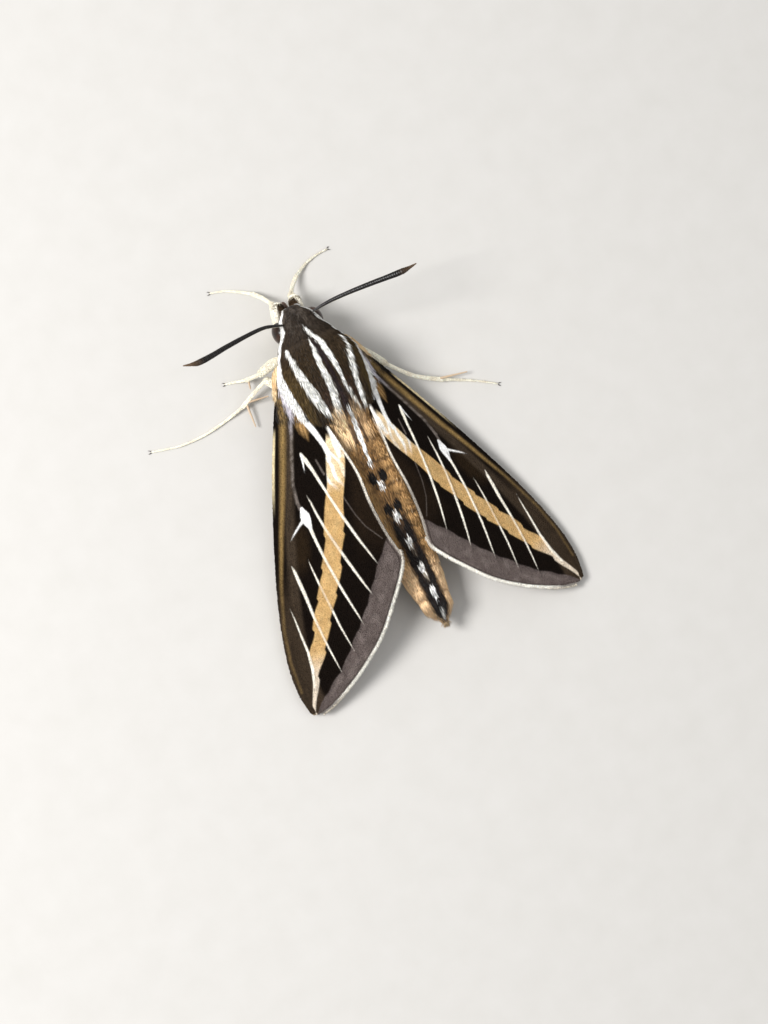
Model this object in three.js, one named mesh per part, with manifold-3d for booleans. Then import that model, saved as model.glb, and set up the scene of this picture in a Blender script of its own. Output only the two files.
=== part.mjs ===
// A hawk moth of the white-lined kind, at rest with its wings half roofed, life size.
// Units are millimetres. +Z is up, the head points to +Y and the moth's right side to +X.
// Lengths along the body are stations, measured backwards from the front of the palps.
import * as THREE from 'three';
import { mergeVertices } from 'three/addons/utils/BufferGeometryUtils.js';
import Module from 'manifold-3d';

const wasm = await Module();
wasm.setup();

// Driving dimensions
const WING_LENGTH = 37.3;
const WING_THICKNESS = 0.5;
const WING_HINGE = at(4.3, 8.6, 5.0);
const WING_TIP = at(17.0, 43.0, 1.0);
const ROOF_AT_BASE = THREE.MathUtils.degToRad(38);
const ROOF_FALL_PER_MM = THREE.MathUtils.degToRad(0.75);
const WING_CAMBER = 0.9;
const WING_CAMBER_CHORD = 15;
const HINDWING_LENGTH = 23;
const HINDWING_DROP = 0.9;
const JOINT_GAP = 0.08;
const FOOT_RADIUS = 0.27;
const LIMB_SIDES = 8;
const LIMB_STEPS = 4;
const BODY_SIDES = 20;
const BODY_FULLNESS = 2.2;

// Stations at which the body is parted.
const HEAD_STATION = 1.2;
const NECK_STATION = 5.0;
const ABDOMEN_CUTS = [16.2, 22.4, 28.6, 34.2, 38.4];
const TAIL_STATION = 41.3;
const WINGS_END_STATION = 24;

// Blunt ends of a limb: where its extra rings lie, in end radii, and how far each is drawn in.
const END_RING = 0.4;
const END_SHRINK = [0.5, 0.86];

// Height of a foot's centre line that puts its lowest flat at height zero.
const FOOT_HEIGHT = FOOT_RADIUS * Math.cos(Math.PI / LIMB_SIDES);

// Body sections: station, half width, top, widest height, underside, sideways bend.
const BODY = [
  [1.2, 1.3, 5.9, 4.9, 3.9, 0],
  [2.2, 2.2, 7.0, 4.9, 3.2, 0],
  [3.4, 2.65, 7.6, 4.9, 2.7, 0],
  [5.0, 3.65, 8.1, 4.9, 2.3, 0],
  [6.6, 4.35, 9.0, 5.1, 1.6, 0],
  [9.4, 4.55, 9.9, 5.3, 1.2, 0],
  [13.4, 4.0, 9.1, 5.2, 1.2, 0],
  [16.4, 3.5, 7.8, 4.6, 1.2, 0],
  [20.5, 3.8, 7.2, 4.2, 0.8, 0],
  [28.0, 3.4, 6.5, 3.7, 0.7, 0.1],
  [34.0, 2.6, 5.3, 3.2, 0.9, 0.3],
  [38.4, 1.8, 4.1, 2.7, 1.1, 0.45],
  [41.3, 0.7, 2.9, 2.2, 1.4, 0.5],
];

// Forewing edges in the wing's own plane: distance from the hinge, then offset across the
// wing, negative towards the front edge.
const FRONT_EDGE = [[-2.6, -0.4], [-2.0, -1.1], [0, -1.35], [4, -2.0], [10, -2.7], [17, -3.15],
  [25, -3.3], [31, -2.8], [34.5, -1.9], [36.6, -0.8], [37.3, -0.2]];
const INNER_EDGE = [[-2.6, 0.6], [0, 2.2], [4.8, 4.9], [10, 7.8], [14, 9.0], [17.6, 10.4], [20.4, 11.8]];
const OUTER_EDGE = [[20.4, 11.8], [22, 11.5], [25, 10.3], [29, 8.4], [33, 5.4], [36, 2.4],
  [37.3, 0.4]];

// Hindwing edges in the same plane. It lies folded below the forewing.
const HIND_FRONT_EDGE = [[1.5, 0.2], [8, 0], [16, 1.0], [21, 2.6], [23, 4.6]];
const HIND_REAR_EDGE = [[1.5, 2.4], [6, 4.9], [12, 7.4], [18, 9.0], [21.5, 8.4], [23, 6.4]];

const UP = new THREE.Vector3(0, 0, 1);
const RIGHT = 1;
const LEFT = -1;

function at(x, station, z) {
  return new THREE.Vector3(x, -station, z);
}

// Value at x of a smooth curve through keys [x, value, ...], column by column.
function through(keys, x, column = 1) {
  const last = keys.length - 1;
  let i = 0;
  while (i < last - 1 && x > keys[i + 1][0]) {
    i += 1;
  }
  const slope = (k) => {
    const a = keys[Math.max(k - 1, 0)];
    const b = keys[Math.min(k + 1, last)];
    return (b[column] - a[column]) / (b[0] - a[0]);
  };
  const [p, q] = [keys[i], keys[i + 1]];
  const span = q[0] - p[0];
  const t = THREE.MathUtils.clamp((x - p[0]) / span, 0, 1);
  const rise = q[column] - p[column];
  const a = slope(i) * span - rise;
  const b = rise - slope(i + 1) * span;
  return p[column] + t * rise + t * (1 - t) * ((1 - t) * a + t * b);
}

function spaced(from, to, steps) {
  return Array.from({ length: steps + 1 }, (_, i) => from + ((to - from) * i) / steps);
}

function signedVolume(positions, triangles) {
  const [a, b, c] = [new THREE.Vector3(), new THREE.Vector3(), new THREE.Vector3()];
  let volume = 0;
  for (let i = 0; i < triangles.length; i += 3) {
    a.fromArray(positions, 3 * triangles[i]);
    b.fromArray(positions, 3 * triangles[i + 1]);
    c.fromArray(positions, 3 * triangles[i + 2]);
    volume += a.dot(b.cross(c)) / 6;
  }
  return volume;
}

function toGeometry(positions, triangles) {
  if (signedVolume(positions, triangles) < 0) {
    triangles.reverse();
  }
  const geometry = new THREE.BufferGeometry();
  geometry.setAttribute('position', new THREE.Float32BufferAttribute(positions, 3));
  geometry.setIndex(triangles);
  return geometry;
}

// Closed skin over a row of rings with the same number of points, capped at both ends.
function loft(rings) {
  const count = rings[0].length;
  const positions = [];
  const triangles = [];
  rings.flat().forEach((point) => positions.push(point.x, point.y, point.z));
  for (let r = 0; r < rings.length - 1; r += 1) {
    for (let i = 0; i < count; i += 1) {
      const j = (i + 1) % count;
      const [a, b] = [r * count + i, r * count + j];
      triangles.push(a, b, a + count, b, b + count, a + count);
    }
  }
  [[rings[0], 0, true], [rings.at(-1), (rings.length - 1) * count, false]].forEach(
    ([ring, start, first]) => {
      const middle = new THREE.Vector3();
      ring.forEach((point) => middle.addScaledVector(point, 1 / count));
      const hub = positions.length / 3;
      positions.push(middle.x, middle.y, middle.z);
      for (let i = 0; i < count; i += 1) {
        const [a, b] = [start + i, start + ((i + 1) % count)];
        triangles.push(...(first ? [b, a, hub] : [a, b, hub]));
      }
    },
  );
  return toGeometry(positions, triangles);
}

function toSolid(geometry) {
  const merged = geometry.clone();
  merged.deleteAttribute('normal');
  merged.deleteAttribute('uv');
  const welded = mergeVertices(merged);
  return new wasm.Manifold(new wasm.Mesh({
    numProp: 3,
    vertProperties: new Float32Array(welded.attributes.position.array),
    triVerts: new Uint32Array(welded.index.array),
  }));
}

function fromSolid(solid) {
  const mesh = solid.getMesh();
  const geometry = new THREE.BufferGeometry();
  geometry.setAttribute('position', new THREE.Float32BufferAttribute(mesh.vertProperties, 3));
  geometry.setIndex(Array.from(mesh.triVerts));
  return geometry;
}

function cut(geometry, ...cutters) {
  const solid = cutters.reduce((rest, cutter) => rest.subtract(toSolid(cutter)), toSolid(geometry));
  return fromSolid(solid);
}

function join(...geometries) {
  return fromSolid(geometries.map(toSolid).reduce((whole, piece) => whole.add(piece)));
}

// Point on the body's outline at a station; angle 0 is the back, a quarter turn the right side.
function bodyPoint(station, angle, grow = 0) {
  const [half, top, middle, bottom, bend] = [1, 2, 3, 4, 5].map((c) => through(BODY, station, c));
  const rounded = (value) => Math.sign(value) * Math.abs(value) ** (2 / BODY_FULLNESS);
  const rise = Math.cos(angle) > 0 ? top - middle : middle - bottom;
  const x = bend + (half + grow) * rounded(Math.sin(angle));
  return at(x, station, middle + (rise + grow) * rounded(Math.cos(angle)));
}

function bodyRing(station, grow = 0) {
  return spaced(0, 2 * Math.PI, BODY_SIDES).slice(0, -1)
    .map((angle) => bodyPoint(station, angle, grow));
}

function bodyLength(from, to, steps, grow = 0) {
  return loft(spaced(from, to, steps).map((station) => bodyRing(station, grow)));
}

// Radius of a limb that is thicker by a swelling halfway along.
function swollen(radius, swelling) {
  return (t) => radius + swelling * Math.sin(Math.PI * t);
}

// Tapered round limb along a smooth path, with a flat facing down and blunt rounded ends.
// It never dips below the height at which its flat meets the floor.
function limb(points, radiusAt, steps, sides = LIMB_SIDES) {
  const path = new THREE.CatmullRomCurve3(points, false, 'centripetal');
  const length = path.getLength();
  const tip = radiusAt(0) / length;
  const tail = radiusAt(1) / length;
  const shaft = spaced(tip, 1 - tail, steps);
  const stops = [0, END_RING * tip, ...shaft, 1 - END_RING * tail, 1];
  const shrink = (i) => END_SHRINK[Math.min(i, stops.length - 1 - i)] ?? 1;
  const rings = stops.map((stop, i) => {
    const centre = path.getPointAt(stop);
    const along = path.getTangentAt(stop);
    if (centre.z <= FOOT_HEIGHT) {
      centre.z = FOOT_HEIGHT;
      along.z = 0;
    }
    const side = new THREE.Vector3().crossVectors(along, UP).normalize();
    const over = new THREE.Vector3().crossVectors(side, along);
    const radius = radiusAt(stop) * shrink(i);
    return spaced(0, sides, sides).slice(0, -1).map((k) => {
      const turn = ((k + 0.5) * 2 * Math.PI) / sides;
      return centre.clone()
        .addScaledVector(side, radius * Math.cos(turn))
        .addScaledVector(over, radius * Math.sin(turn));
    });
  });
  return loft(rings);
}

// Point on the right forewing's middle surface: length along the wing, offset across it, and
// height above the surface.
function wingPoint(along, across, above = 0) {
  const spine = WING_TIP.clone().sub(WING_HINGE).normalize();
  const level = new THREE.Vector3().crossVectors(spine, UP).normalize();
  const over = new THREE.Vector3().crossVectors(level, spine);
  const roof = ROOF_AT_BASE - ROOF_FALL_PER_MM * along;
  const chord = level.clone().multiplyScalar(Math.cos(roof)).addScaledVector(over, Math.sin(roof));
  const normal = level.clone().multiplyScalar(-Math.sin(roof)).addScaledVector(over, Math.cos(roof));
  const arch = Math.sin(Math.PI * THREE.MathUtils.clamp(across / WING_CAMBER_CHORD, 0, 1));
  const swell = Math.sqrt(Math.sin(Math.PI * THREE.MathUtils.clamp(along / WING_LENGTH, 0, 1)));
  return WING_HINGE.clone()
    .addScaledVector(spine, along)
    .addScaledVector(chord, across)
    .addScaledVector(normal, WING_CAMBER * arch * swell + above);
}

// Plate between two edges of the wing plane, given as functions of the length along the wing.
function wingPlate(from, to, front, rear, drop, side, lengthSteps, chordSteps) {
  const rings = spaced(from, to, lengthSteps).map((along) => {
    const offsets = spaced(front(along), rear(along), chordSteps);
    const top = offsets.map((across) => wingPoint(along, across, WING_THICKNESS / 2 - drop));
    const under = offsets.map((across) => wingPoint(along, across, -WING_THICKNESS / 2 - drop));
    return [...top, ...under.reverse()].map((point) => point.setX(side * point.x));
  });
  return loft(rings);
}

function mirrored(points, side) {
  return points.map(([x, station, z]) => at(side * x, station, z));
}

const materials = {
  coat: ['#5b4a36', 0.9],
  dark: ['#2a211b', 0.55],
  eye: ['#1c1512', 0.25],
  pale: ['#e9dfcf', 0.85],
  tan: ['#b98e59', 0.9],
  wing: ['#3a2c22', 0.85],
  hindwing: ['#8d4f4a', 0.85],
};

const moth = new THREE.Group();

function add(name, geometry, finish) {
  const [color, roughness] = materials[finish];
  const mesh = new THREE.Mesh(
    geometry,
    new THREE.MeshStandardMaterial({ color, roughness, metalness: 0 }),
  );
  mesh.name = name;
  moth.add(mesh);
}

const sides = [['left', LEFT], ['right', RIGHT]];

// Head: a round capsule with large eyes let into its sides.
const EYE_RADII = new THREE.Vector3(0.95, 1.35, 1.35);
const EYE_CENTRE = [2.15, 3.1, 4.6];
const EYE_SEGMENTS = [10, 8];
const HEAD_STEPS = 6;

function eye(side, grow = 0) {
  const ball = new THREE.SphereGeometry(1, ...EYE_SEGMENTS);
  ball.scale(EYE_RADII.x + grow, EYE_RADII.y + grow, EYE_RADII.z + grow);
  const centre = at(side * EYE_CENTRE[0], EYE_CENTRE[1], EYE_CENTRE[2]);
  ball.translate(centre.x, centre.y, centre.z);
  return ball;
}

const eyeSockets = sides.map(([, side]) => eye(side, JOINT_GAP));
const headCapsule = bodyLength(HEAD_STATION, NECK_STATION - JOINT_GAP, HEAD_STEPS);
add('head', cut(headCapsule, ...eyeSockets), 'coat');
sides.forEach(([name, side]) => add(`eye_${name}`, eye(side), 'eye'));

// Palps: two blunt lobes in front of the face, with the coiled tongue between them.
const PALP = [[1.15, 2.2, 3.05], [1.15, 1.1, 3.4], [1.05, 0.1, 4.3]];
const PALP_STEPS = 3;
const PALP_SIDES = 10;
const palpRadius = swollen(0.72, 0.12);
const face = bodyLength(HEAD_STATION - JOINT_GAP, EYE_CENTRE[1], HEAD_STEPS, JOINT_GAP);
sides.forEach(([name, side]) => {
  const palp = limb(mirrored(PALP, side), palpRadius, PALP_STEPS, PALP_SIDES);
  add(`palp_${name}`, cut(palp, face), 'pale');
});

// The tongue is a flat coil whose turns just clear each other.
const TONGUE = { turns: 1.3, outer: 1.05, inner: 0.31, radius: 0.25, station: 0.9, height: 2.5 };
const TONGUE_STEPS = 26;
const TONGUE_CURVE_SEGMENTS = 3;
function tongueCoil() {
  const points = spaced(0, 1, TONGUE_STEPS).map((t) => {
    const angle = Math.PI / 2 - t * TONGUE.turns * 2 * Math.PI;
    const radius = TONGUE.outer + (TONGUE.inner - TONGUE.outer) * t;
    const station = TONGUE.station - radius * Math.cos(angle);
    return at(0, station, TONGUE.height + radius * Math.sin(angle));
  });
  const shape = new THREE.Shape().absarc(0, 0, TONGUE.radius, 0, 2 * Math.PI);
  return new THREE.ExtrudeGeometry(shape, {
    steps: TONGUE_STEPS,
    curveSegments: TONGUE_CURVE_SEGMENTS,
    bevelEnabled: false,
    extrudePath: new THREE.CatmullRomCurve3(points),
  });
}
add('proboscis', tongueCoil(), 'dark');

// Antennae: stiff feelers that thicken to a club and end in a fine hook.
const ANTENNA_ROOT = [1.9, 2.5, 6.5];
const ANTENNA_STEPS = 12;
const ANTENNA = { radius: 0.27, club: 0.13, clubFrom: 0.55, hookFrom: 0.86 };
function antennaRadius(t) {
  const swelling = THREE.MathUtils.smoothstep(t, 0, ANTENNA.clubFrom);
  const narrowing = THREE.MathUtils.smoothstep(t, ANTENNA.hookFrom, 1);
  return ANTENNA.radius + ANTENNA.club * (swelling - narrowing);
}
const antennaPaths = {
  left: [[-3.8, 1.95, 7.3], [-5.5, 1.9, 8.0], [-9.6, 2.2, 9.6], [-13.2, 2.5, 11.0],
    [-14.8, 2.1, 11.3]],
  right: [[3.6, 2.4, 7.6], [5.8, 2.5, 8.7], [8.9, 2.8, 9.9], [12.2, 3.15, 11.1],
    [13.8, 3.05, 11.5]],
};
sides.forEach(([name, side]) => {
  const [x, station, z] = ANTENNA_ROOT;
  const path = [at(side * x, station, z), ...antennaPaths[name].map((p) => at(...p))];
  const head = bodyLength(HEAD_STATION, NECK_STATION, HEAD_STEPS, JOINT_GAP);
  add(`antenna_${name}`, cut(limb(path, antennaRadius, ANTENNA_STEPS), head), 'dark');
});

// Thorax with the two tegulae, the scaled shoulder flaps over the wing hinges.
const THORAX_STEPS = 10;
add('thorax', bodyLength(NECK_STATION, ABDOMEN_CUTS[0] - JOINT_GAP, THORAX_STEPS), 'coat');

// A tegula's span along the body and round it, its thickness, and where its outline, drawn as
// an arch over its length, starts and ends on that arch.
const TEGULA = { from: 5.6, to: 15.7, upper: 0.6, lower: 1.3, thickness: 0.5 };
const TEGULA_ARCH = [0.06, 0.92];
const TEGULA_STEPS = [9, 4];
function tegula(side, grow = 0) {
  const [lengthSteps, widthSteps] = TEGULA_STEPS;
  const rings = spaced(0, 1, lengthSteps).map((t) => {
    const station = TEGULA.from - grow + t * (TEGULA.to - TEGULA.from + 2 * grow);
    const arch = TEGULA_ARCH[0] + (TEGULA_ARCH[1] - TEGULA_ARCH[0]) * t;
    const spread = Math.sqrt(Math.sin(Math.PI * arch));
    const middle = (TEGULA.upper + TEGULA.lower) / 2;
    const half = (spread * (TEGULA.lower - TEGULA.upper)) / 2 + grow / 4;
    const angles = spaced(middle - half, middle + half, widthSteps).map((angle) => side * angle);
    const height = JOINT_GAP + TEGULA.thickness + grow;
    const over = angles.map((angle) => bodyPoint(station, angle, height));
    const under = angles.map((angle) => bodyPoint(station, angle, JOINT_GAP - grow));
    return [...over, ...under.reverse()];
  });
  return loft(rings);
}
sides.forEach(([name, side]) => add(`tegula_${name}`, tegula(side), 'coat'));

// Abdomen in four lengths, then the brush of long scales at its end.
const ABDOMEN_STEPS = 4;
const TAIL_STEPS = 3;
ABDOMEN_CUTS.slice(0, -1).forEach((from, i) => {
  const to = ABDOMEN_CUTS[i + 1] - JOINT_GAP;
  add(`abdomen_${i + 1}`, bodyLength(from, to, ABDOMEN_STEPS), 'tan');
});
add('tail_brush', bodyLength(ABDOMEN_CUTS.at(-1), TAIL_STATION, TAIL_STEPS), 'tan');

// Wings: cambered plates on the thorax's sides, roofed down to the front edge.
const TRUNK_STEPS = 20;
const FOREWING_FROM = -2.5;
const FOREWING_STEPS = [20, 5];
const HINDWING_FROM = 1.5;
const HINDWING_STEPS = [12, 3];
const trunk = bodyLength(HEAD_STATION, WINGS_END_STATION, TRUNK_STEPS, JOINT_GAP);
const INNER_AND_OUTER = [...INNER_EDGE, ...OUTER_EDGE.slice(1)];
sides.forEach(([name, side]) => {
  const front = (along) => through(FRONT_EDGE, along);
  const rear = (along) => through(INNER_AND_OUTER, along);
  const fore = wingPlate(FOREWING_FROM, WING_LENGTH, front, rear, 0, side, ...FOREWING_STEPS);
  add(`forewing_${name}`, cut(fore, trunk, tegula(side, JOINT_GAP)), 'wing');
  const hindFront = (along) => through(HIND_FRONT_EDGE, along);
  const hindRear = (along) => through(HIND_REAR_EDGE, along);
  const hind = wingPlate(
    HINDWING_FROM,
    HINDWING_LENGTH,
    hindFront,
    hindRear,
    HINDWING_DROP,
    side,
    ...HINDWING_STEPS,
  );
  add(`hindwing_${name}`, cut(hind, trunk, tegula(side, JOINT_GAP)), 'hindwing');
});

// Legs: each runs hip, knee, ankle and foot; the joint ends butt with a hair's clearance.
const legs = {
  foreleg_left: {
    femur: [[-1.7, 6.6, 2.3], [-1.6, 3.2, 1.75], [-1.0, -0.4, 2.2]],
    tibia: [[-1.0, -0.4, 2.2], [-1.5, -1.6, 1.4], [-2.2, -2.65, 0.65]],
    tarsus: [[-2.2, -2.65, 0.65], [-3.5, -3.6, FOOT_HEIGHT], [-5.0, -4.4, FOOT_HEIGHT],
      [-6.5, -4.85, FOOT_HEIGHT]],
    spurs: [],
  },
  foreleg_right: {
    femur: [[1.7, 6.6, 2.3], [1.7, 3.2, 1.75], [1.4, -0.6, 2.2]],
    tibia: [[1.4, -0.6, 2.2], [2.3, -1.6, 1.3], [3.3, -2.4, 0.7]],
    tarsus: [[3.3, -2.4, 0.7], [4.9, -3.2, FOOT_HEIGHT], [6.4, -3.6, FOOT_HEIGHT],
      [8.0, -3.7, FOOT_HEIGHT]],
    spurs: [],
  },
  midleg_left: {
    femur: [[-2.0, 6.4, 2.6], [-3.9, 5.65, 3.2], [-6.1, 6.1, 3.8]],
    tibia: [[-6.1, 6.1, 3.8], [-6.9, 6.0, 2.4], [-7.4, 5.85, 1.0]],
    tarsus: [[-7.4, 5.85, 1.0], [-8.0, 5.65, 0.45], [-8.8, 5.4, FOOT_HEIGHT],
      [-9.6, 5.2, FOOT_HEIGHT]],
    spurs: [[[-7.2, 5.9, 1.4], [-7.35, 7.0, 0.75]]],
  },
  midleg_right: {
    femur: [[2.2, 6.4, 2.3], [5.1, 8.1, 2.7], [7.4, 11.0, 2.9]],
    tibia: [[7.4, 11.0, 2.9], [10.2, 13.8, 1.6], [13.2, 15.55, 0.6]],
    tarsus: [[13.2, 15.55, 0.6], [15.2, 16.5, FOOT_HEIGHT], [17.0, 17.5, FOOT_HEIGHT],
      [19.0, 18.8, FOOT_HEIGHT]],
    spurs: [[[12.9, 15.3, 0.9], [16.2, 16.0, 0.8]]],
  },
  hindleg_left: {
    femur: [[-2.1, 11.4, 1.9], [-3.9, 9.0, 2.1], [-5.6, 6.9, 2.3]],
    tibia: [[-5.6, 6.9, 2.3], [-7.3, 7.6, 1.5], [-9.0, 8.4, 0.75]],
    tarsus: [[-9.0, 8.4, 0.75], [-11.1, 8.9, FOOT_HEIGHT], [-14.2, 9.35, FOOT_HEIGHT],
      [-17.4, 9.25, FOOT_HEIGHT], [-20.6, 8.45, FOOT_HEIGHT]],
    spurs: [[[-8.55, 8.3, 0.95], [-8.7, 11.1, 0.6]], [[-8.4, 8.2, 1.1], [-5.9, 8.6, 1.2]]],
  },
  hindleg_right: {
    femur: [[2.1, 11.4, 2.0], [4.0, 12.4, 2.2], [5.7, 14.0, 2.6]],
    tibia: [[5.7, 14.0, 2.6], [6.9, 18.0, 1.7], [7.75, 21.3, 0.7]],
    tarsus: [[7.75, 21.3, 0.7], [8.4, 24.0, FOOT_HEIGHT], [9.2, 27.0, FOOT_HEIGHT],
      [10.3, 30.4, FOOT_HEIGHT]],
    spurs: [[[7.65, 20.8, 1.0], [9.5, 22.1, 0.7]], [[6.9, 18.2, 1.7], [8.3, 19.5, 1.2]]],
  },
};
const SPUR_SIDES = 6;
const SPUR_STEPS = 1;
const TARSUS_STEPS = 7;
const SPUR_RADII = [0.27, 0.17];
const femurRadius = swollen(0.42, 0.16);
const tibiaRadius = swollen(0.3, 0.08);
const spurRadius = (t) => THREE.MathUtils.lerp(...SPUR_RADII, t);
const grown = (radiusAt, grow) => (t) => radiusAt(t) + grow;

Object.entries(legs).forEach(([name, leg]) => {
  const [femur, tibia, tarsus] = [leg.femur, leg.tibia, leg.tarsus].map(
    (points) => points.map((point) => at(...point)),
  );
  const thigh = (grow) => limb(femur, grown(femurRadius, grow), LIMB_STEPS);
  const shin = (grow) => join(
    limb(tibia, grown(tibiaRadius, grow), LIMB_STEPS),
    ...leg.spurs.map(([root, tip]) => limb(
      [at(...root), at(...tip)],
      grown(spurRadius, grow),
      SPUR_STEPS,
      SPUR_SIDES,
    )),
  );
  const foot = limb(tarsus, () => FOOT_RADIUS, TARSUS_STEPS);
  add(`${name}_femur`, cut(thigh(0), trunk), 'pale');
  add(`${name}_tibia`, cut(shin(0), thigh(JOINT_GAP)), 'pale');
  add(`${name}_tarsus`, cut(foot, shin(JOINT_GAP)), 'pale');
});

// The origin is below the middle of the moth, on the floor.
const bounds = new THREE.Box3().setFromObject(moth);
const middle = bounds.getCenter(new THREE.Vector3());
moth.children.forEach((mesh) => mesh.geometry.translate(-middle.x, -middle.y, -bounds.min.z));

export default moth;
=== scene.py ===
"""A hawk moth of the white-lined kind at rest, life size, dressed in its scales and hairs."""
import math
import bpy
import numpy as np
from mathutils import Matrix, Vector


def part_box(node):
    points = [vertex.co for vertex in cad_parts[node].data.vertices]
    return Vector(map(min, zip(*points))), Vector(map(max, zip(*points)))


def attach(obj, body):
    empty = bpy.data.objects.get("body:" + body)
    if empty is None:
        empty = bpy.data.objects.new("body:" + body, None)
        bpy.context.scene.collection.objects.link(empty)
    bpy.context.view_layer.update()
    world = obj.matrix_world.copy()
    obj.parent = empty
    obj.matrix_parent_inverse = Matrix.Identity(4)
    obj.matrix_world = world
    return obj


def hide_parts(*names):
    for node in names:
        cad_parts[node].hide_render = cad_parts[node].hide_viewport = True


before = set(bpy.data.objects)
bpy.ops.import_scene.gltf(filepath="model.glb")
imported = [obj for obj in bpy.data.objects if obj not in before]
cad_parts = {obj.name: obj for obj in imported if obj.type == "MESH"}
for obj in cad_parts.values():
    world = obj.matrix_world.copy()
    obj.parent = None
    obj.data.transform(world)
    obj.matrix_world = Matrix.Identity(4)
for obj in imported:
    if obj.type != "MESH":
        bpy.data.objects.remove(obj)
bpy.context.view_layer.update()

# --- The moth's own axes ------------------------------------------------------------------
# Sizes below are in millimetres: x to the moth's right, z up from the floor, and a station
# measured backwards from the front of the palps. The two eyes tie these to the frame.
MM = 0.001
EYE_STATION = 3.1
eye_middles = [sum(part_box(node), Vector()) / 2 for node in ("eye_left", "eye_right")]
MIDLINE = (eye_middles[0].x + eye_middles[1].x) / 2
FRONT = eye_middles[0].y + EYE_STATION * MM


def at(x, station, z):
    """A point from its place across, its station and its height, each a number or an array."""
    return np.stack(np.broadcast_arrays(x, -np.asarray(station, float), z), -1)


def in_frame(points):
    return np.asarray(points) * MM + np.array([MIDLINE, FRONT, 0])


# --- Floor, lights and camera ----------------------------------------------------------------
# A sheet of pale matt card under a soft studio light from the moth's left, with an even
# fill from all round. The camera looks down on the moth's back, a little from its left.
FLOOR_WIDTH = 3.0
FLOOR_DROP = 0.02
CAMERA_TILT = math.radians(11.5)
CAMERA_TURN = math.radians(26.5)
CAMERA_DISTANCE = 320
VIEW_HEIGHT = 113.8
SENSOR = 36
LIT_POINT = Vector((0, 0, 0.005))
VIEW_MIDDLE = (-1.33, 26.15, 7.9)


def linear(code):
    """An sRGB hex colour as three linear numbers."""
    parts = np.array([int(code[i:i + 2], 16) for i in (1, 3, 5)]) / 255
    return np.where(parts <= 0.04045, parts / 12.92, ((parts + 0.055) / 1.055) ** 2.4)


def add_node(material, kind, settings, links=None):
    """A shader node with its settings and its links, each to a socket's name or number."""
    node = material.node_tree.nodes.new(kind)
    for key, value in settings.items():
        if isinstance(key, str) and hasattr(node, key):
            setattr(node, key, value)
        else:
            node.inputs[key].default_value = value
    for socket, source in (links or {}).items():
        material.node_tree.links.new(source, node.inputs[socket])
    return node


def new_material(name):
    material = bpy.data.materials.new(name)
    material.use_nodes = True
    material.node_tree.nodes.clear()
    return material


def finish_material(material, shader):
    add_node(material, "ShaderNodeOutputMaterial", {}, {"Surface": shader})
    return material


card = new_material("matt_card")
card_grain = add_node(card, "ShaderNodeTexNoise", {"Scale": 900, "Detail": 3})
card_tone = add_node(card, "ShaderNodeValToRGB", {}, {0: card_grain.outputs["Fac"]})
card_tone.color_ramp.elements[0].color = (*linear("#c0bdb8"), 1)
card_tone.color_ramp.elements[1].color = (*linear("#c7c4c0"), 1)
finish_material(card, add_node(
    card, "ShaderNodeBsdfPrincipled", {"Roughness": 0.95, "Specular IOR Level": 0.1},
    {"Base Color": card_tone.outputs["Color"]}).outputs[0])

bpy.ops.mesh.primitive_plane_add(size=FLOOR_WIDTH, location=(0, 0, -FLOOR_DROP * MM))
floor = bpy.context.object
floor.name = "floor_card"
floor.data.materials.append(card)


def add_softbox(name, place, size, power):
    """A square area light aimed at the middle of the moth's back."""
    light = bpy.data.lights.new(name, "AREA")
    light.size = size
    light.energy = power
    lamp = bpy.data.objects.new(name, light)
    bpy.context.scene.collection.objects.link(lamp)
    lamp.location = place
    lamp.rotation_euler = (LIT_POINT - Vector(place)).to_track_quat("-Z", "Y").to_euler()


add_softbox("key_softbox", (-0.26, 0.10, 0.30), 0.14, 2.2)
add_softbox("fill_softbox", (0.25, -0.20, 0.35), 0.40, 0.25)

world = bpy.data.worlds.new("studio_room")
world.use_nodes = True
bpy.context.scene.world = world
background = world.node_tree.nodes["Background"]
background.inputs["Color"].default_value = (0.96, 0.98, 1.0, 1)
background.inputs["Strength"].default_value = 0.6

camera = bpy.data.objects.new("camera", bpy.data.cameras.new("camera"))
bpy.context.scene.collection.objects.link(camera)
bpy.context.scene.camera = camera
camera.data.sensor_width = SENSOR
camera.data.lens = SENSOR * CAMERA_DISTANCE / VIEW_HEIGHT
camera.data.clip_start = 0.01
lengthwise = Vector((0, 1, 0))
sideways = Vector((math.cos(CAMERA_TILT), 0, math.sin(CAMERA_TILT)))
backwards = Vector((-math.sin(CAMERA_TILT), 0, math.cos(CAMERA_TILT)))
camera_right = math.cos(CAMERA_TURN) * sideways - math.sin(CAMERA_TURN) * lengthwise
camera_up = math.sin(CAMERA_TURN) * sideways + math.cos(CAMERA_TURN) * lengthwise
target = Vector(in_frame(at(*VIEW_MIDDLE)))
camera.matrix_world = (
    Matrix.Translation(target + CAMERA_DISTANCE * MM * backwards)
    @ Matrix((camera_right, camera_up, backwards)).transposed().to_4x4())
bpy.context.scene.view_settings.view_transform = "Standard"


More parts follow.
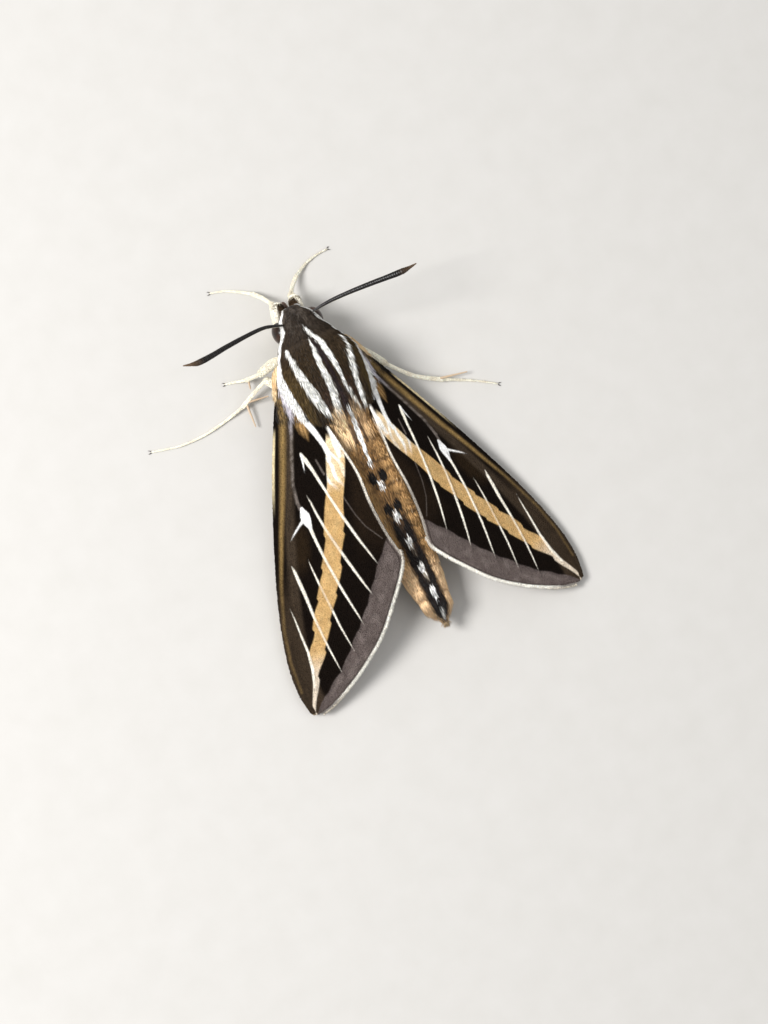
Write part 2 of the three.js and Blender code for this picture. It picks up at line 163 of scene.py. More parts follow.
# --- Body skin -------------------------------------------------------------------------------
# The soft-coated cuticle of head, thorax and abdomen: one closed skin, swollen where the
# two shoulder flaps lie over the wing hinges, and stepped at the rings of the abdomen.
BODY = [  # station, half width, top, widest height, underside, sideways bend
    [1.2, 1.3, 5.9, 4.9, 3.9, 0],
    [2.2, 2.2, 7.0, 4.9, 3.2, 0],
    [3.4, 2.65, 7.6, 4.9, 2.7, 0],
    [5.0, 3.65, 8.1, 4.9, 2.3, 0],
    [6.6, 4.35, 9.0, 5.1, 1.6, 0],
    [9.4, 4.55, 9.9, 5.3, 1.2, 0],
    [13.4, 4.0, 9.1, 5.2, 1.2, 0],
    [16.4, 3.5, 7.8, 4.6, 1.2, 0],
    [20.5, 3.8, 7.2, 4.2, 0.8, 0],
    [28.0, 3.4, 6.5, 3.7, 0.7, 0.1],
    [34.0, 2.6, 5.3, 3.2, 0.9, 0.3],
    [38.4, 1.8, 4.1, 2.7, 1.1, 0.45],
    [41.3, 0.7, 2.9, 2.2, 1.4, 0.5],
]
BODY_FULLNESS = 2.2
FACE_STATION = 0.75       # foremost point of the rounded face
SKIN_END = 39.8           # the skin's hind end, inside the tail brush
TAIL_ROUNDING = 2.4       # how far before it the skin starts to round off
TAIL_STATION = 41.3
COAT_DEPTH = [[0.7, 0.12], [4.6, 0.25], [7, 0.42], [15, 0.42], [19, 0.25], [34, 0.2], [40, 0.3]]
# The shoulder flap's edges: where each starts and ends along the body and round it.
TEGULA = {"front": (5.6, 7.6), "rear": (12.7, 15.7), "upper": (0.5, 0.7), "lower": (1.2, 1.4),
          "thickness": 0.5}
NECK = {"station": 4.9, "length": 0.45, "depth": 0.07}
RING_ENDS = [20.0, 22.9, 26.7, 29.9, 33.3, 36.1, 38.3]
RING_STEP = {"depth": 0.12, "sharpness": 0.15, "length": 1.6}


def through(keys, x):
    """Values at x of the smooth curves through keys, a column for each value of a key."""
    keys = np.asarray(keys, float)
    place, values = keys[:, 0], keys[:, 1:]
    order = np.arange(len(keys))
    after, before = np.minimum(order + 1, len(keys) - 1), np.maximum(order - 1, 0)
    slope = (values[after] - values[before]) / (place[after] - place[before])[:, None]
    x = np.asarray(x, float)
    i = np.clip(np.searchsorted(place, x) - 1, 0, len(keys) - 2)
    span = (place[i + 1] - place[i])[..., None]
    t = np.clip((x - place[i])[..., None] / span, 0, 1)
    rise = values[i + 1] - values[i]
    a, b = slope[i] * span - rise, rise - slope[i + 1] * span
    return values[i] + t * rise + t * (1 - t) * ((1 - t) * a + t * b)


def curve(keys, x):
    """The same for keys with a single value."""
    return through(keys, x)[..., 0]


def ramp(x, start, end):
    """Rises smoothly from 0 at start to 1 at end."""
    t = np.clip((x - start) / (end - start), 0, 1)
    return t * t * (3 - 2 * t)


def between(x, rise, fall):
    """Rises smoothly from 0 to 1 over one stretch of x and falls back over a later one."""
    return ramp(x, *rise) * (1 - ramp(x, *fall))


def round_off(station, start, end):
    """The outline of a round end: 1 as far as start, drawn in to 0 at end."""
    away = (station - start) / (end - start)
    return np.where(away > 0, np.sqrt(np.clip(1 - away ** 2, 0, 1)), 1)


def body_point(station, angle, grow=0.0):
    """Point on the body's outline; angle 0 is the back and a quarter turn the right side."""
    half, top, middle, bottom, bend = np.moveaxis(through(BODY, station), -1, 0)
    rounded = lambda value: np.sign(value) * np.abs(value) ** (2 / BODY_FULLNESS)
    rise = np.where(np.cos(angle) > 0, top - middle, middle - bottom)
    x = (half + grow) * rounded(np.sin(angle))
    z = (rise + grow) * rounded(np.cos(angle))
    return at(bend + x, station, middle + z)


def body_skin(station, angle):
    """The skin's surface, inside the coat, with its shoulder flaps, neck, waist and rings."""
    station, angle = np.broadcast_arrays(np.asarray(station, float), np.asarray(angle, float))
    flap = between(station, TEGULA["front"], TEGULA["rear"])
    flap = flap * between(np.abs(angle), TEGULA["upper"], TEGULA["lower"])
    neck = np.exp(-(((station - NECK["station"]) / NECK["length"]) ** 2))
    grow = TEGULA["thickness"] * flap - curve(COAT_DEPTH, station) - NECK["depth"] * neck
    for end in RING_ENDS:
        sharp = end + RING_STEP["sharpness"]
        step = between(station, (end, sharp), (sharp, end + RING_STEP["length"]))
        grow = grow - RING_STEP["depth"] * step
    ends = round_off(station, BODY[0][0], FACE_STATION) \
        * round_off(station, SKIN_END - TAIL_ROUNDING, SKIN_END)
    middle = through(BODY, station)
    centre = at(middle[..., 4], station, middle[..., 2])
    return centre + (body_point(station, angle, grow) - centre) * ends[..., None]


def reach_along(line):
    """How far along a bent line each of its points lies."""
    return np.concatenate([[0], np.cumsum(np.linalg.norm(np.diff(line, axis=0), axis=1))])


def distance_to(line, x, y):
    """Distance of points from a bent line, and how far along it they lie, from 0 to 1."""
    line = np.asarray(line, float)
    steps = np.diff(line, axis=0)
    lengths = np.linalg.norm(steps, axis=1)
    starts = reach_along(line)
    best = np.full(np.shape(x), 1e9)
    share = np.zeros(np.shape(x))
    for start, step, length, before in zip(line, steps, lengths, starts):
        t = ((x - start[0]) * step[0] + (y - start[1]) * step[1]) / length ** 2
        t = np.clip(t, 0, 1)
        gap = np.hypot(x - start[0] - t * step[0], y - start[1] - t * step[1])
        nearer = gap < best
        best = np.where(nearer, gap, best)
        share = np.where(nearer, (before + t * length) / starts[-1], share)
    return best, share


def plain(code, shape):
    """One colour for every place in an array of that shape."""
    return np.broadcast_to(linear(code), (*shape, 3))


def painted(colour, amount, code):
    """Colours with another laid over them by the given amounts."""
    return colour + (linear(code) - colour) * np.clip(amount, 0, 1)[..., None]


def inside(gap, half_width, edge=0.07):
    """How much of a mark of that half width covers points at that gap from its middle."""
    return np.clip((half_width - gap) / edge + 0.5, 0, 1)


def stripe(line, x, y, edge=0.07):
    """How much of a stripe of varying width, given as (x, y, width), covers points."""
    line = np.asarray(line, float)
    reach = reach_along(line[:, :2])
    gap, share = distance_to(line[:, :2], x, y)
    return inside(gap, np.interp(share, reach / reach[-1], line[:, 2]) / 2, edge)


# Pale stripes of the thorax, as (distance right of the midline, station, width); the
# outermost pair, on the steep sides, as (station, angle round the body, width).
BACK_STRIPES = [
    [[-3.0, 5.0, 0.3], [-3.06, 6.8, 0.45], [-3.06, 8.6, 0.64], [-2.8, 10.6, 0.74],
     [-2.5, 12.2, 0.6], [-2.3, 12.9, 0.35]],
    [[-0.2, 4.9, 0.1], [-0.5, 6.3, 0.42], [-0.69, 8.1, 0.74], [-0.67, 10.0, 0.84],
     [-0.92, 11.9, 0.9], [-1.15, 13.7, 0.65]],
    [[0.0, 3.6, 0.3], [0.4, 4.6, 0.42], [0.85, 5.8, 0.62], [0.98, 7.2, 0.72], [0.99, 9.0, 0.56],
     [1.08, 10.6, 0.42], [1.4, 12.3, 0.38], [1.65, 13.3, 0.25]],
    [[3.35, 5.9, 0.22], [3.15, 7.4, 0.3], [2.85, 8.8, 0.35], [2.55, 11.0, 0.36],
     [2.4, 12.8, 0.32], [2.5, 13.6, 0.2]],
]
SIDE_STRIPES = {
    -1: [[0.9, 1.15, 0.35], [1.7, 1.22, 0.85], [2.6, 1.14, 0.95], [4.0, 1.33, 1.0],
         [5.3, 1.47, 1.05], [7.0, 1.5, 1.3], [10.0, 1.44, 1.4], [12.6, 1.38, 1.15],
         [16.4, 1.4, 0.9]],
    1: [[0.9, 1.15, 0.35], [1.7, 1.22, 0.85], [2.6, 1.14, 0.9], [4.0, 1.3, 0.85],
        [5.3, 1.3, 0.8], [8.3, 1.22, 0.9], [10.7, 1.22, 0.95], [13.4, 1.12, 0.85],
        [16.4, 1.2, 0.8]],
}
WAIST_STREAK = [[0.25, 13.3, 0.4], [0.3, 14.6, 0.62], [0.22, 15.8, 0.72], [0.13, 17.2, 0.55],
                [0.05, 18.9, 0.35], [0.0, 19.9, 0.4]]


def coat_colour(station, angle):
    half, _, _, _, bend = np.moveaxis(through(BODY, station), -1, 0)
    x = body_point(station, angle)[..., 0] - bend
    off, side = np.abs(x), np.abs(angle)
    colour = plain("#3c2e1c", x.shape)
    colour = painted(colour, ramp(station, 8, 12) * (1 - ramp(off, 2.0, 2.6)), "#432f20")
    colour = painted(colour, ramp(off, 3.0, 3.6) * ramp(station, 5.5, 9), "#5c4a2b")
    # Head: grey-brown, darker down its middle; it runs softly into the olive thorax.
    colour = painted(colour, 1 - ramp(station, 2.5, 7.5), "#3a3027")
    middle = (1 - ramp(off, 0.2, 0.9)) * (1 - ramp(station, 3.5, 5))
    colour = painted(colour, middle * 0.6, "#241c15")
    mottle = np.sin(4.6 * x + 1.9 * np.sin(3.1 * station)) * np.sin(3.9 * station + 1.6 * x)
    mottle = ramp(mottle, -0.2, 0.8) * (1 - ramp(station, 1.8, 5))
    colour = painted(colour, mottle * 0.6, "#6a5f55")
    # A lilac-brown line between the two middle stripes, and then the white stripes.
    line = (1 - ramp(np.abs(x - 0.12), 0.16, 0.4)) * between(station, (4.2, 5.5), (13, 14))
    colour = painted(colour, line * 0.85, "#2a1d20")
    for line in BACK_STRIPES:
        colour = painted(colour, stripe(line, x, station, 0.12), "#fffdf6")
    on_thorax = 1 - ramp(station, 16.6, 17.4)
    for sign, line in SIDE_STRIPES.items():
        gap = np.abs(angle * sign - curve([row[:2] for row in line], station)) * half
        width = curve([row[::2] for row in line], station)
        colour = painted(colour, inside(gap, width / 2, 0.12) * on_thorax, "#fffdf8")
    # Waist: tan hair behind the stripes and a white streak down its middle.
    tan = between(station, (13.3, 14.3), (18, 20)) * (1 - ramp(off, 2.4, 3.0))
    colour = painted(colour, tan * 0.9, "#d4a872")
    # A cream patch each side of the waist, with painted shade: it is full on the left, where the
    # key light falls, and under half strength on the shaded right.
    cream = np.hypot((np.abs(x + 0.15) - 1.25) / 1.0, (station - 15.3) / 2.4)
    colour = painted(colour, inside(cream, 1, 0.6) * np.where(x < 0, 1, 0.45), "#ffddae")
    gap = np.hypot((np.abs(x - 0.2) - 0.62) / 0.26, (station - 15.9) / 1.7)
    colour = painted(colour, inside(gap, 1, 0.5) * 0.85, "#54392a")
    # Abdomen: grey-brown back, tan flanks, and on each ring a white dot behind two spots.
    rear = ramp(station, 16.6, 18.6)
    colour = painted(colour, rear, "#84633d")
    colour = painted(colour, rear * ramp(off, 0.7, 2.0), "#d9ac73")
    colour = painted(colour, ramp(station, 31, 34) * ramp(off, 0.95, 1.4), "#f4cfa2")
    # Painted shade: from station 25 back, the middle of the abdomen is darkened to dark brown, as
    # in the shade of the forewings closing over it.
    colour = painted(colour, ramp(station, 25.2, 28.5) * (1 - ramp(off, 0.85, 1.5)), "#3a2b20")
    colour = painted(colour, stripe(WAIST_STREAK, x, station), "#fffdf8")
    for ring, end in enumerate(RING_ENDS):
        tight = 1 - 0.05 * ring
        if ring > 0:
            spot = np.hypot((off - 0.68 * tight) / 0.5, (station - end + 1.1) / 0.78)
            colour = painted(colour, inside(spot, 1, 0.16), "#150f0c")
        if ring > 2:
            bar = np.hypot((off - 0.68) / 0.36, (station - end + 1.4) / 1.4)
            colour = painted(colour, inside(bar, 1, 0.2), "#1d1511")
            dash = np.hypot(x / 0.24, (station - end - 0.5) / 0.9)
            colour = painted(colour, inside(dash, 1, 0.3) * 0.7, "#b9ac98")
        dot = np.hypot(x / 0.42, (station - end) / (0.46 + 0.04 * ring))
        colour = painted(colour, inside(dot, 1, 0.16), "#fffdf8")
        edge = np.exp(-(((station - end - 0.15) / 0.12) ** 2)) * ramp(off, 1.2, 1.8)
        colour = painted(colour, edge * 0.5, "#efe0c4")
    colour = painted(colour, ramp(station, 38.6, 40.2) * 0.8, "#c29c70")
    # Underside: cream on head and thorax, greyer tan on the abdomen.
    below = ramp(side, 1.6, 1.85)
    colour = painted(colour, below * (1 - rear), "#e2d7c2")
    colour = painted(colour, below * rear * 0.8, "#b39b7a")
    return colour


def flecked_markings(material, fleck_mm, detail, darkest, palest):
    """The markings held by the mesh, made uneven by fine flecks, and the flecks themselves."""
    markings = add_node(material, "ShaderNodeAttribute", {"attribute_name": "markings"})
    place = add_node(material, "ShaderNodeTexCoord", {})
    flecks = add_node(material, "ShaderNodeTexNoise",
                      {"Scale": 1 / (fleck_mm * MM), "Detail": detail},
                      {"Vector": place.outputs["Object"]})
    shade = add_node(material, "ShaderNodeMapRange", {3: darkest, 4: palest},
                     {0: flecks.outputs["Fac"]})
    tinted = add_node(material, "ShaderNodeVectorMath", {"operation": "SCALE"},
                      {0: markings.outputs["Color"], "Scale": shade.outputs[0]})
    return tinted.outputs[0], flecks.outputs["Fac"]


def chitin(name, roughness, grain_mm, depth, shine=0.4):
    """Insect cuticle, dry and horny: markings from the mesh, with a fine leathery grain."""
    material = new_material(name)
    tinted, grain = flecked_markings(material, grain_mm, 4, 0.8, 1.12)
    bump = add_node(material, "ShaderNodeBump", {"Strength": 0.6, "Distance": depth * MM},
                    {"Height": grain})
    shader = add_node(material, "ShaderNodeBsdfPrincipled",
                      {"Roughness": roughness, "Specular IOR Level": shine, "IOR": 1.56},
                      {"Base Color": tinted, "Normal": bump.outputs["Normal"]})
    return finish_material(material, shader.outputs[0])


def add_mesh(name, points, faces, corner_places, colour, material, replaced=()):
    """A piece of the moth from points in millimetres, with its unwrap and its markings."""
    faces = np.asarray(faces)
    mesh = bpy.data.meshes.new(name)
    mesh.vertices.add(len(points))
    mesh.vertices.foreach_set("co", in_frame(points).astype(np.float32).ravel())
    mesh.loops.add(faces.size)
    mesh.loops.foreach_set("vertex_index", faces.ravel().astype(np.int32))
    mesh.polygons.add(len(faces))
    starts = np.arange(len(faces), dtype=np.int32) * faces.shape[1]
    mesh.polygons.foreach_set("loop_start", starts)
    mesh.update(calc_edges=True)
    mesh.shade_smooth()
    places = mesh.uv_layers.new(name="OFBake")
    places.data.foreach_set("uv", np.asarray(corner_places, np.float32).ravel())
    markings = mesh.color_attributes.new("markings", "FLOAT_COLOR", "POINT")
    opaque = np.concatenate([colour, np.ones((len(colour), 1))], 1)
    markings.data.foreach_set("color", opaque.astype(np.float32).ravel())
    mesh.materials.append(material)
    piece = bpy.data.objects.new(name, mesh)
    bpy.context.scene.collection.objects.link(piece)
    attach(piece, "root")
    if replaced:
        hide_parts(*replaced)


def add_rings(name, rings, colour, material, replaced=()):
    """A closed skin over rings of points, unrolled once along and once round."""
    count, sides = rings.shape[:2]
    index = np.arange(count * sides).reshape(count, sides)
    following = np.roll(index, -1, 1)
    quads = np.stack([index[:-1], index[1:], following[1:], following[:-1]], -1).reshape(-1, 4)
    along = 0.02 + 0.96 * np.arange(count) / (count - 1)
    around = 0.01 + 0.98 * np.arange(sides + 1) / sides
    u, v = np.meshgrid(along, around, indexing="ij")
    chart = np.stack([u, v], -1)
    places = np.stack([chart[:-1, :-1], chart[1:, :-1], chart[1:, 1:], chart[:-1, 1:]], 2)
    points = rings.reshape(-1, 3)
    # Each end is closed by triangles to a middle point, written as quads with a split edge.
    hubs = len(points) + np.arange(2)
    middles = np.stack([rings[0].mean(0), rings[-1].mean(0)])
    caps, cap_places = [], []
    for ring, hub, u_hub, order in ((0, hubs[0], 0.005, 1), (count - 1, hubs[1], 0.995, -1)):
        for i in range(0, sides, 2):
            three = [index[ring, i], index[ring, (i + 1) % sides], index[ring, (i + 2) % sides]]
            spots = [(along[ring], around[i]), (along[ring], around[i + 1]),
                     (along[ring], around[i + 2])]
            caps.append([hub, *three[::order]])
            cap_places.append([(u_hub, around[i + 1]), *spots[::order]])
    faces = np.concatenate([quads, np.array(caps)])
    corner_places = np.concatenate([places.reshape(-1, 2), np.array(cap_places).reshape(-1, 2)])
    colour = np.asarray(colour).reshape(-1, 3)
    colour = np.concatenate([colour, colour[:1], colour[-1:]])
    points = np.concatenate([points, middles])
    # The faces look outwards: a negative volume means that the rings ran the other way.
    one, two, three, four = np.moveaxis((points - points.mean(0))[faces], 1, 0)
    volume = np.sum(one * (np.cross(two, three) + np.cross(three, four)))
    if volume < 0:
        faces = faces[:, ::-1]
        corner_places = corner_places.reshape(-1, 4, 2)[:, ::-1].reshape(-1, 2)
    add_mesh(name, points, faces, corner_places, colour, material, replaced)


body_cuticle = chitin("body_cuticle", 0.7, 0.12, 0.03)
skin_stations = np.concatenate([
    FACE_STATION + (BODY[0][0] - FACE_STATION) * (1 - np.cos(np.linspace(0.12, math.pi / 2, 8))),
    np.arange(1.35, 37.5, 0.15),
    SKIN_END - TAIL_ROUNDING * (1 - np.sin(np.linspace(0, math.pi / 2 - 0.06, 14))),
])
skin_angles = np.linspace(-math.pi, math.pi, 96, endpoint=False)
skin_grid = np.meshgrid(skin_stations, skin_angles, indexing="ij")
add_rings("body_skin", body_skin(*skin_grid), coat_colour(*skin_grid) * 0.7, body_cuticle,
          ["head", "thorax", "tegula_left", "tegula_right", "abdomen_1",
                         "abdomen_2", "abdomen_3", "abdomen_4", "tail_brush"])


# --- Coat of the body ------------------------------------------------------------------------
# Hair-like scales grow from the cuticle in staggered rows and lie backwards over each
# other: short on the face, long and soft on the thorax, flat on the abdomen's rings.
SIDES = {"left": -1, "right": 1}
chance = np.random.default_rng(11)
TUFT_PATCH = 0.003        # width of each hair's own small part of the unwrap
# Across in widths, along in lengths and above in widths, and the faces between.
HAIR = {
    "points": [(-0.35, 0, 0), (0.35, 0, 0), (0, 0.03, 0.3),
               (-0.5, 0.45, 0), (0.5, 0.45, 0), (0, 0.48, 0.35), (0, 1, 0.1)],
    "faces": [(0, 1, 2), (0, 3, 4), (0, 4, 1), (1, 4, 5), (1, 5, 2), (0, 2, 5), (0, 5, 3),
              (3, 6, 4), (4, 6, 5), (5, 6, 3)],
}


def surface_at(shape, along, around, step):
    """Point, lie and outward normal of a surface that is a function of two numbers."""
    point = shape(along, around)
    lie = shape(along + step, around) - shape(along - step, around)
    across = shape(along, around + step) - shape(along, around - step)
    lie = lie / np.linalg.norm(lie, axis=-1, keepdims=True)
    normal = np.cross(lie, across)
    return point, lie, normal / np.linalg.norm(normal, axis=-1, keepdims=True)


def staggered(shape, start, end, row_step, spacing):
    """Roots in staggered rows round a closed surface, each a little out of line."""
    along, around = [], []
    for row, station in enumerate(np.arange(start, end, row_step)):
        ring = shape(station, np.linspace(-math.pi, math.pi, 64))
        girth = np.linalg.norm(np.diff(ring, axis=0), axis=1).sum()
        count = max(5, int(girth / spacing))
        turns = (np.arange(count) + 0.5 * (row % 2) + 0.35 * chance.normal(size=count)) / count
        around.append((turns % 1) * 2 * math.pi - math.pi)
        along.append(station + 0.35 * row_step * chance.normal(size=count))
    return np.concatenate(along), np.concatenate(around)


def on_chart(values, ends=None):
    """Values between two ends, their own if none are given, as places along the unwrap."""
    low, high = ends or (values.min(), values.max())
    return 0.01 + 0.97 * (values - low) / (high - low)


def add_blades(name, blade, root, lie, normal, size, rise, sway, colour, place, material):
    """Many like hairs or scales in one mesh. size holds lengths and widths, rise the slope
    at which each leaves the skin, and sway how far its tip leans sideways. Each blade has one
    colour, or colour gives one for each place on it; dark blades get painted shade towards
    their roots, and every blade is lightened a little towards its tip."""
    length, width = (np.broadcast_to(s, len(root))[:, None] for s in size)
    across, along, above = (c[None, :] for c in np.array(blade["points"], float).T)
    aside = np.cross(lie, normal)
    sway = np.broadcast_to(sway, len(root))[:, None]
    rise = np.broadcast_to(rise, len(root))[:, None]
    left = across * width + sway * along ** 2 * length
    up = above * width + length * rise * along * (1 - 0.5 * along)
    forward = along * length
    points = (root[:, None] + left[..., None] * aside[:, None]
              + forward[..., None] * lie[:, None] + up[..., None] * normal[:, None])
    count = across.shape[1]
    starts = (np.arange(len(root)) * count)[:, None, None]
    faces = (np.array(blade["faces"])[None] + starts).reshape(-1, 3)
    spread = np.stack([across[0] + 0.5, along[0]], -1) * TUFT_PATCH
    place = np.clip(np.stack(place, -1), 0.001, 0.998 - TUFT_PATCH)
    places = (place[:, None] + spread[None]).reshape(-1, 2)[faces]
    colour = colour(left, forward) if callable(colour) else colour[:, None]
    # Painted shade: dark blades are darkened towards their roots, where the blades lying over them
    # shade them, and every tip is lightened a little above its colour.
    depth = 0.3 * (1 - 0.75 * colour.mean(-1)) * (1 - along)
    colour = (colour * (1.06 - depth)[..., None]).reshape(-1, 3)
    add_mesh(name, points.reshape(-1, 3), faces, places, colour, material)


EVEN_SHADE = 0.98         # flecks lighten and darken a coat's markings about this share of them


def scale_coat(name, roughness, sheen, shine, fleck_mm=0.6, palest=1.1):
    """Moth scales: thin dead chitin, ribbed too finely to see, which gives a silky sheen."""
    material = new_material(name)
    tinted, _ = flecked_markings(material, fleck_mm, 3, 2 * EVEN_SHADE - palest, palest)
    shader = add_node(material, "ShaderNodeBsdfPrincipled",
                      {"Roughness": roughness, "Specular IOR Level": shine, "IOR": 1.56,
                       "Sheen Weight": sheen, "Sheen Roughness": 0.4}, {"Base Color": tinted})
    return finish_material(material, shader.outputs[0])


def varied(colour, spread):
    """Colours each a little lighter or darker than the last."""
    return np.clip(colour * (1 + spread * chance.normal(size=(len(colour), 1))), 0, 1)


EYE_RADII = np.array([0.95, 1.35, 1.35])
EYE_PLACE = [2.15, EYE_STATION, 4.6]
BROW_HEIGHT = 5.35        # hair above this lies over the eyes' upper rims


def eye_centre(side):
    return at(side * EYE_PLACE[0], *EYE_PLACE[1:])


def clear_of_eyes(points, margin):
    """Which points lie outside both eyes, grown by the margin."""
    clear = np.ones(len(points), bool)
    for side in SIDES.values():
        away = (points - eye_centre(side)) / (EYE_RADII + margin)
        clear &= np.linalg.norm(away, axis=1) > 1
    return clear


def over_eyes(points, margin):
    """The points, with those in the upper rim of an eye brought out onto it."""
    for side in SIDES.values():
        centre = eye_centre(side)
        away = (points - centre) / (EYE_RADII + margin)
        reach = np.maximum(np.linalg.norm(away, axis=1), 0.01)
        lifted = (reach < 1) & (points[:, 2] > BROW_HEIGHT)
        points = np.where(lifted[:, None], centre + (points - centre) / reach[:, None], points)
    return points


hair_coat = scale_coat("hair_scales", 0.8, 0.06, 0.14)
# name, stations, row step, spacing, length at each end, width, rise, sway, colour slot
COATS = {
    "coat_head": ((0.85, 5.9), 0.11, 0.105, (0.45, 1.1), 0.1, 0.3, 0.1, "coat_brown"),
    "coat_thorax": ((3.8, 16.8), 0.145, 0.145, (0.8, 2.0), 0.13, 0.3, 0.06, "coat_brown"),
    "coat_abdomen": ((16.0, 37.6), 0.17, 0.155, (1.2, 1.0), 0.17, 0.15, 0.05, "coat_tan"),
    "coat_tail": ((35.4, 39.6), 0.13, 0.12, (1.3, 2.5), 0.12, 0.14, 0.08, "coat_tan"),
}
for name, (reach, row_step, spacing, lengths, width, rise, sway, slot) in COATS.items():
    station, angle = staggered(body_skin, *reach, row_step, spacing)
    station = np.clip(station, FACE_STATION + 0.05, SKIN_END - 0.05)
    root, lie, normal = surface_at(body_skin, station, angle, 0.01)
    root = over_eyes(root, 0.04)
    length = np.interp(station, reach, lengths) * chance.uniform(0.75, 1.15, len(root))
    tips = root + lie * length[:, None] * 0.6
    kept = clear_of_eyes(root, 0.03) & (clear_of_eyes(tips, 0.02) | (root[:, 2] > BROW_HEIGHT))
    station, angle, root, lie, normal, length = (
        values[kept] for values in (station, angle, root, lie, normal, length))
    count = len(root)
    length = np.minimum(length, TAIL_STATION - station)
    colour = varied(coat_colour(station + 0.08 * chance.normal(size=count),
                                angle + 0.008 * chance.normal(size=count)), 0.11)
    chart_along = on_chart(station)
    if name == "coat_abdomen":
        chart_along = 0.02 + 0.96 * (station - FACE_STATION) / (SKIN_END - FACE_STATION)
    add_blades(name, HAIR, root - 0.04 * normal, lie, normal,
               (length, width * chance.uniform(0.8, 1.25, count)),
               rise * chance.uniform(0.4, 1.5, count), sway * chance.normal(size=count),
               colour, (chart_along, (angle + math.pi) / (2 * math.pi)), hair_coat)


# --- Eyes ------------------------------------------------------------------------------------
# Two large compound eyes let into the sides of the head: glossy dark brown domes of many
# small hexagonal facets. The facets are drawn three times too wide, to show at all.
FACET = 0.09

eye_facets = new_material("eye_facets")
facet_place = add_node(eye_facets, "ShaderNodeTexCoord", {})
facet_cells = add_node(eye_facets, "ShaderNodeTexVoronoi", {"Scale": 1 / (FACET * MM)},
                       {"Vector": facet_place.outputs["Object"]})
mottle = add_node(eye_facets, "ShaderNodeTexNoise", {"Scale": 1 / (1.1 * MM), "Detail": 2},
                  {"Vector": facet_place.outputs["Object"]})
eye_tone = add_node(eye_facets, "ShaderNodeValToRGB", {}, {0: mottle.outputs["Fac"]})
eye_tone.color_ramp.elements[0].color = (*linear("#120b08"), 1)
eye_tone.color_ramp.elements[0].position = 0.35
eye_tone.color_ramp.elements[1].color = (*linear("#3b2417"), 1)
eye_tone.color_ramp.elements[1].position = 0.7
facet_bump = add_node(eye_facets, "ShaderNodeBump",
                      {"Strength": 0.5, "Distance": 0.02 * MM, "invert": True},
                      {"Height": facet_cells.outputs["Distance"]})
finish_material(eye_facets, add_node(
    eye_facets, "ShaderNodeBsdfPrincipled",
    {"Roughness": 0.3, "IOR": 1.4, "Specular IOR Level": 0.3, "Coat Weight": 0.2,
     "Coat Roughness": 0.06},
    {"Base Color": eye_tone.outputs["Color"], "Normal": facet_bump.outputs["Normal"]}).outputs[0])

for name, side in SIDES.items():
    polar, turn = np.meshgrid(np.linspace(0.03, math.pi - 0.03, 48),
                              np.linspace(0, 2 * math.pi, 64, endpoint=False), indexing="ij")
    ball = np.stack([np.cos(polar) * side, np.sin(polar) * np.cos(turn) * side,
                     np.sin(polar) * np.sin(turn)], -1)
    add_rings(f"eye_dome_{name}", eye_centre(side) + ball * (EYE_RADII - 0.02),
              plain("#20140e", polar.shape), eye_facets, [f"eye_{name}"])


# --- Palps -----------------------------------------------------------------------------------
# A pair of blunt feelers held up before the face, thickly clothed in short smooth scales,
# white below and brown above.
SCALE = {
    "points": [(0, 0, 0), (0.5, 0.55, 0), (0.32, 1, 0), (-0.32, 1, 0), (-0.5, 0.55, 0),
               (0, 0.6, 0.14), (0, 0.5, -0.04)],
    "faces": [(0, 1, 5), (1, 2, 5), (2, 3, 5), (3, 4, 5), (4, 0, 5),
              (1, 0, 6), (2, 1, 6), (3, 2, 6), (4, 3, 6), (0, 4, 6)],
}
PALP_LINE = [[1.15, 2.2, 3.05], [1.15, 1.1, 3.4], [1.05, 0.1, 4.3]]


def evenly(line, step):
    """Points at even steps along a line of close points."""
    reach = reach_along(line)
    stops = np.linspace(0, reach[-1], max(3, round(reach[-1] / step) + 1))
    return np.stack([np.interp(stops, reach, line[:, axis]) for axis in range(3)], -1)


def smooth_line(points, step):
    """Points at even steps along the smooth curve through a few given ones."""
    points = np.asarray(points, float)
    padded = np.vstack([2 * points[0] - points[1], points, 2 * points[-1] - points[-2]])
    line = []
    for four in zip(padded, padded[1:], padded[2:], padded[3:]):
        gaps = [math.sqrt(np.linalg.norm(b - a)) for a, b in zip(four, four[1:])]
        knots = np.concatenate([[0], np.cumsum(gaps)])
        t = np.linspace(knots[1], knots[2], 24, endpoint=False)[:, None]
        level = list(four)
        for width in (1, 2, 3):
            level = [((knots[i + width] - t) * level[i] + (t - knots[i]) * level[i + 1])
                     / (knots[i + width] - knots[i]) for i in range(4 - width)]
        line.append(level[0])
    return evenly(np.vstack([*line, points[-1:]]), step)


def frames_along(line):
    """Direction of a line at each point, and two steady directions across it."""
    tangent = np.gradient(line, axis=0)
    tangent /= np.linalg.norm(tangent, axis=1, keepdims=True)
    over = np.zeros_like(tangent)
    start = np.array([0.0, 0.0, 1.0])
    for i, along in enumerate(tangent):
        start = start - along * (start @ along)
        start = start / np.linalg.norm(start)
        over[i] = start
    return tangent, np.cross(tangent, over), over


def round_ends(line, radius):
    """The radius along a line, drawn in to a round end at each end of it."""
    reach = reach_along(line)
    near = np.minimum(reach, reach[-1] - reach) / radius
    return radius * np.sqrt(np.clip(1 - (1 - np.clip(near, 0.02, 1)) ** 2, 0, 1))


def tube(line, radius, sides=20):
    """Rings of points round a line, and the turn of each point; turn 0 is the upper side."""
    _, aside, over = frames_along(line)
    turn = np.linspace(0, 2 * math.pi, sides, endpoint=False)
    ring = (aside[:, None] * np.sin(turn)[None, :, None]
            + over[:, None] * np.cos(turn)[None, :, None])
    return line[:, None] + ring * np.broadcast_to(radius, len(line))[:, None, None], turn


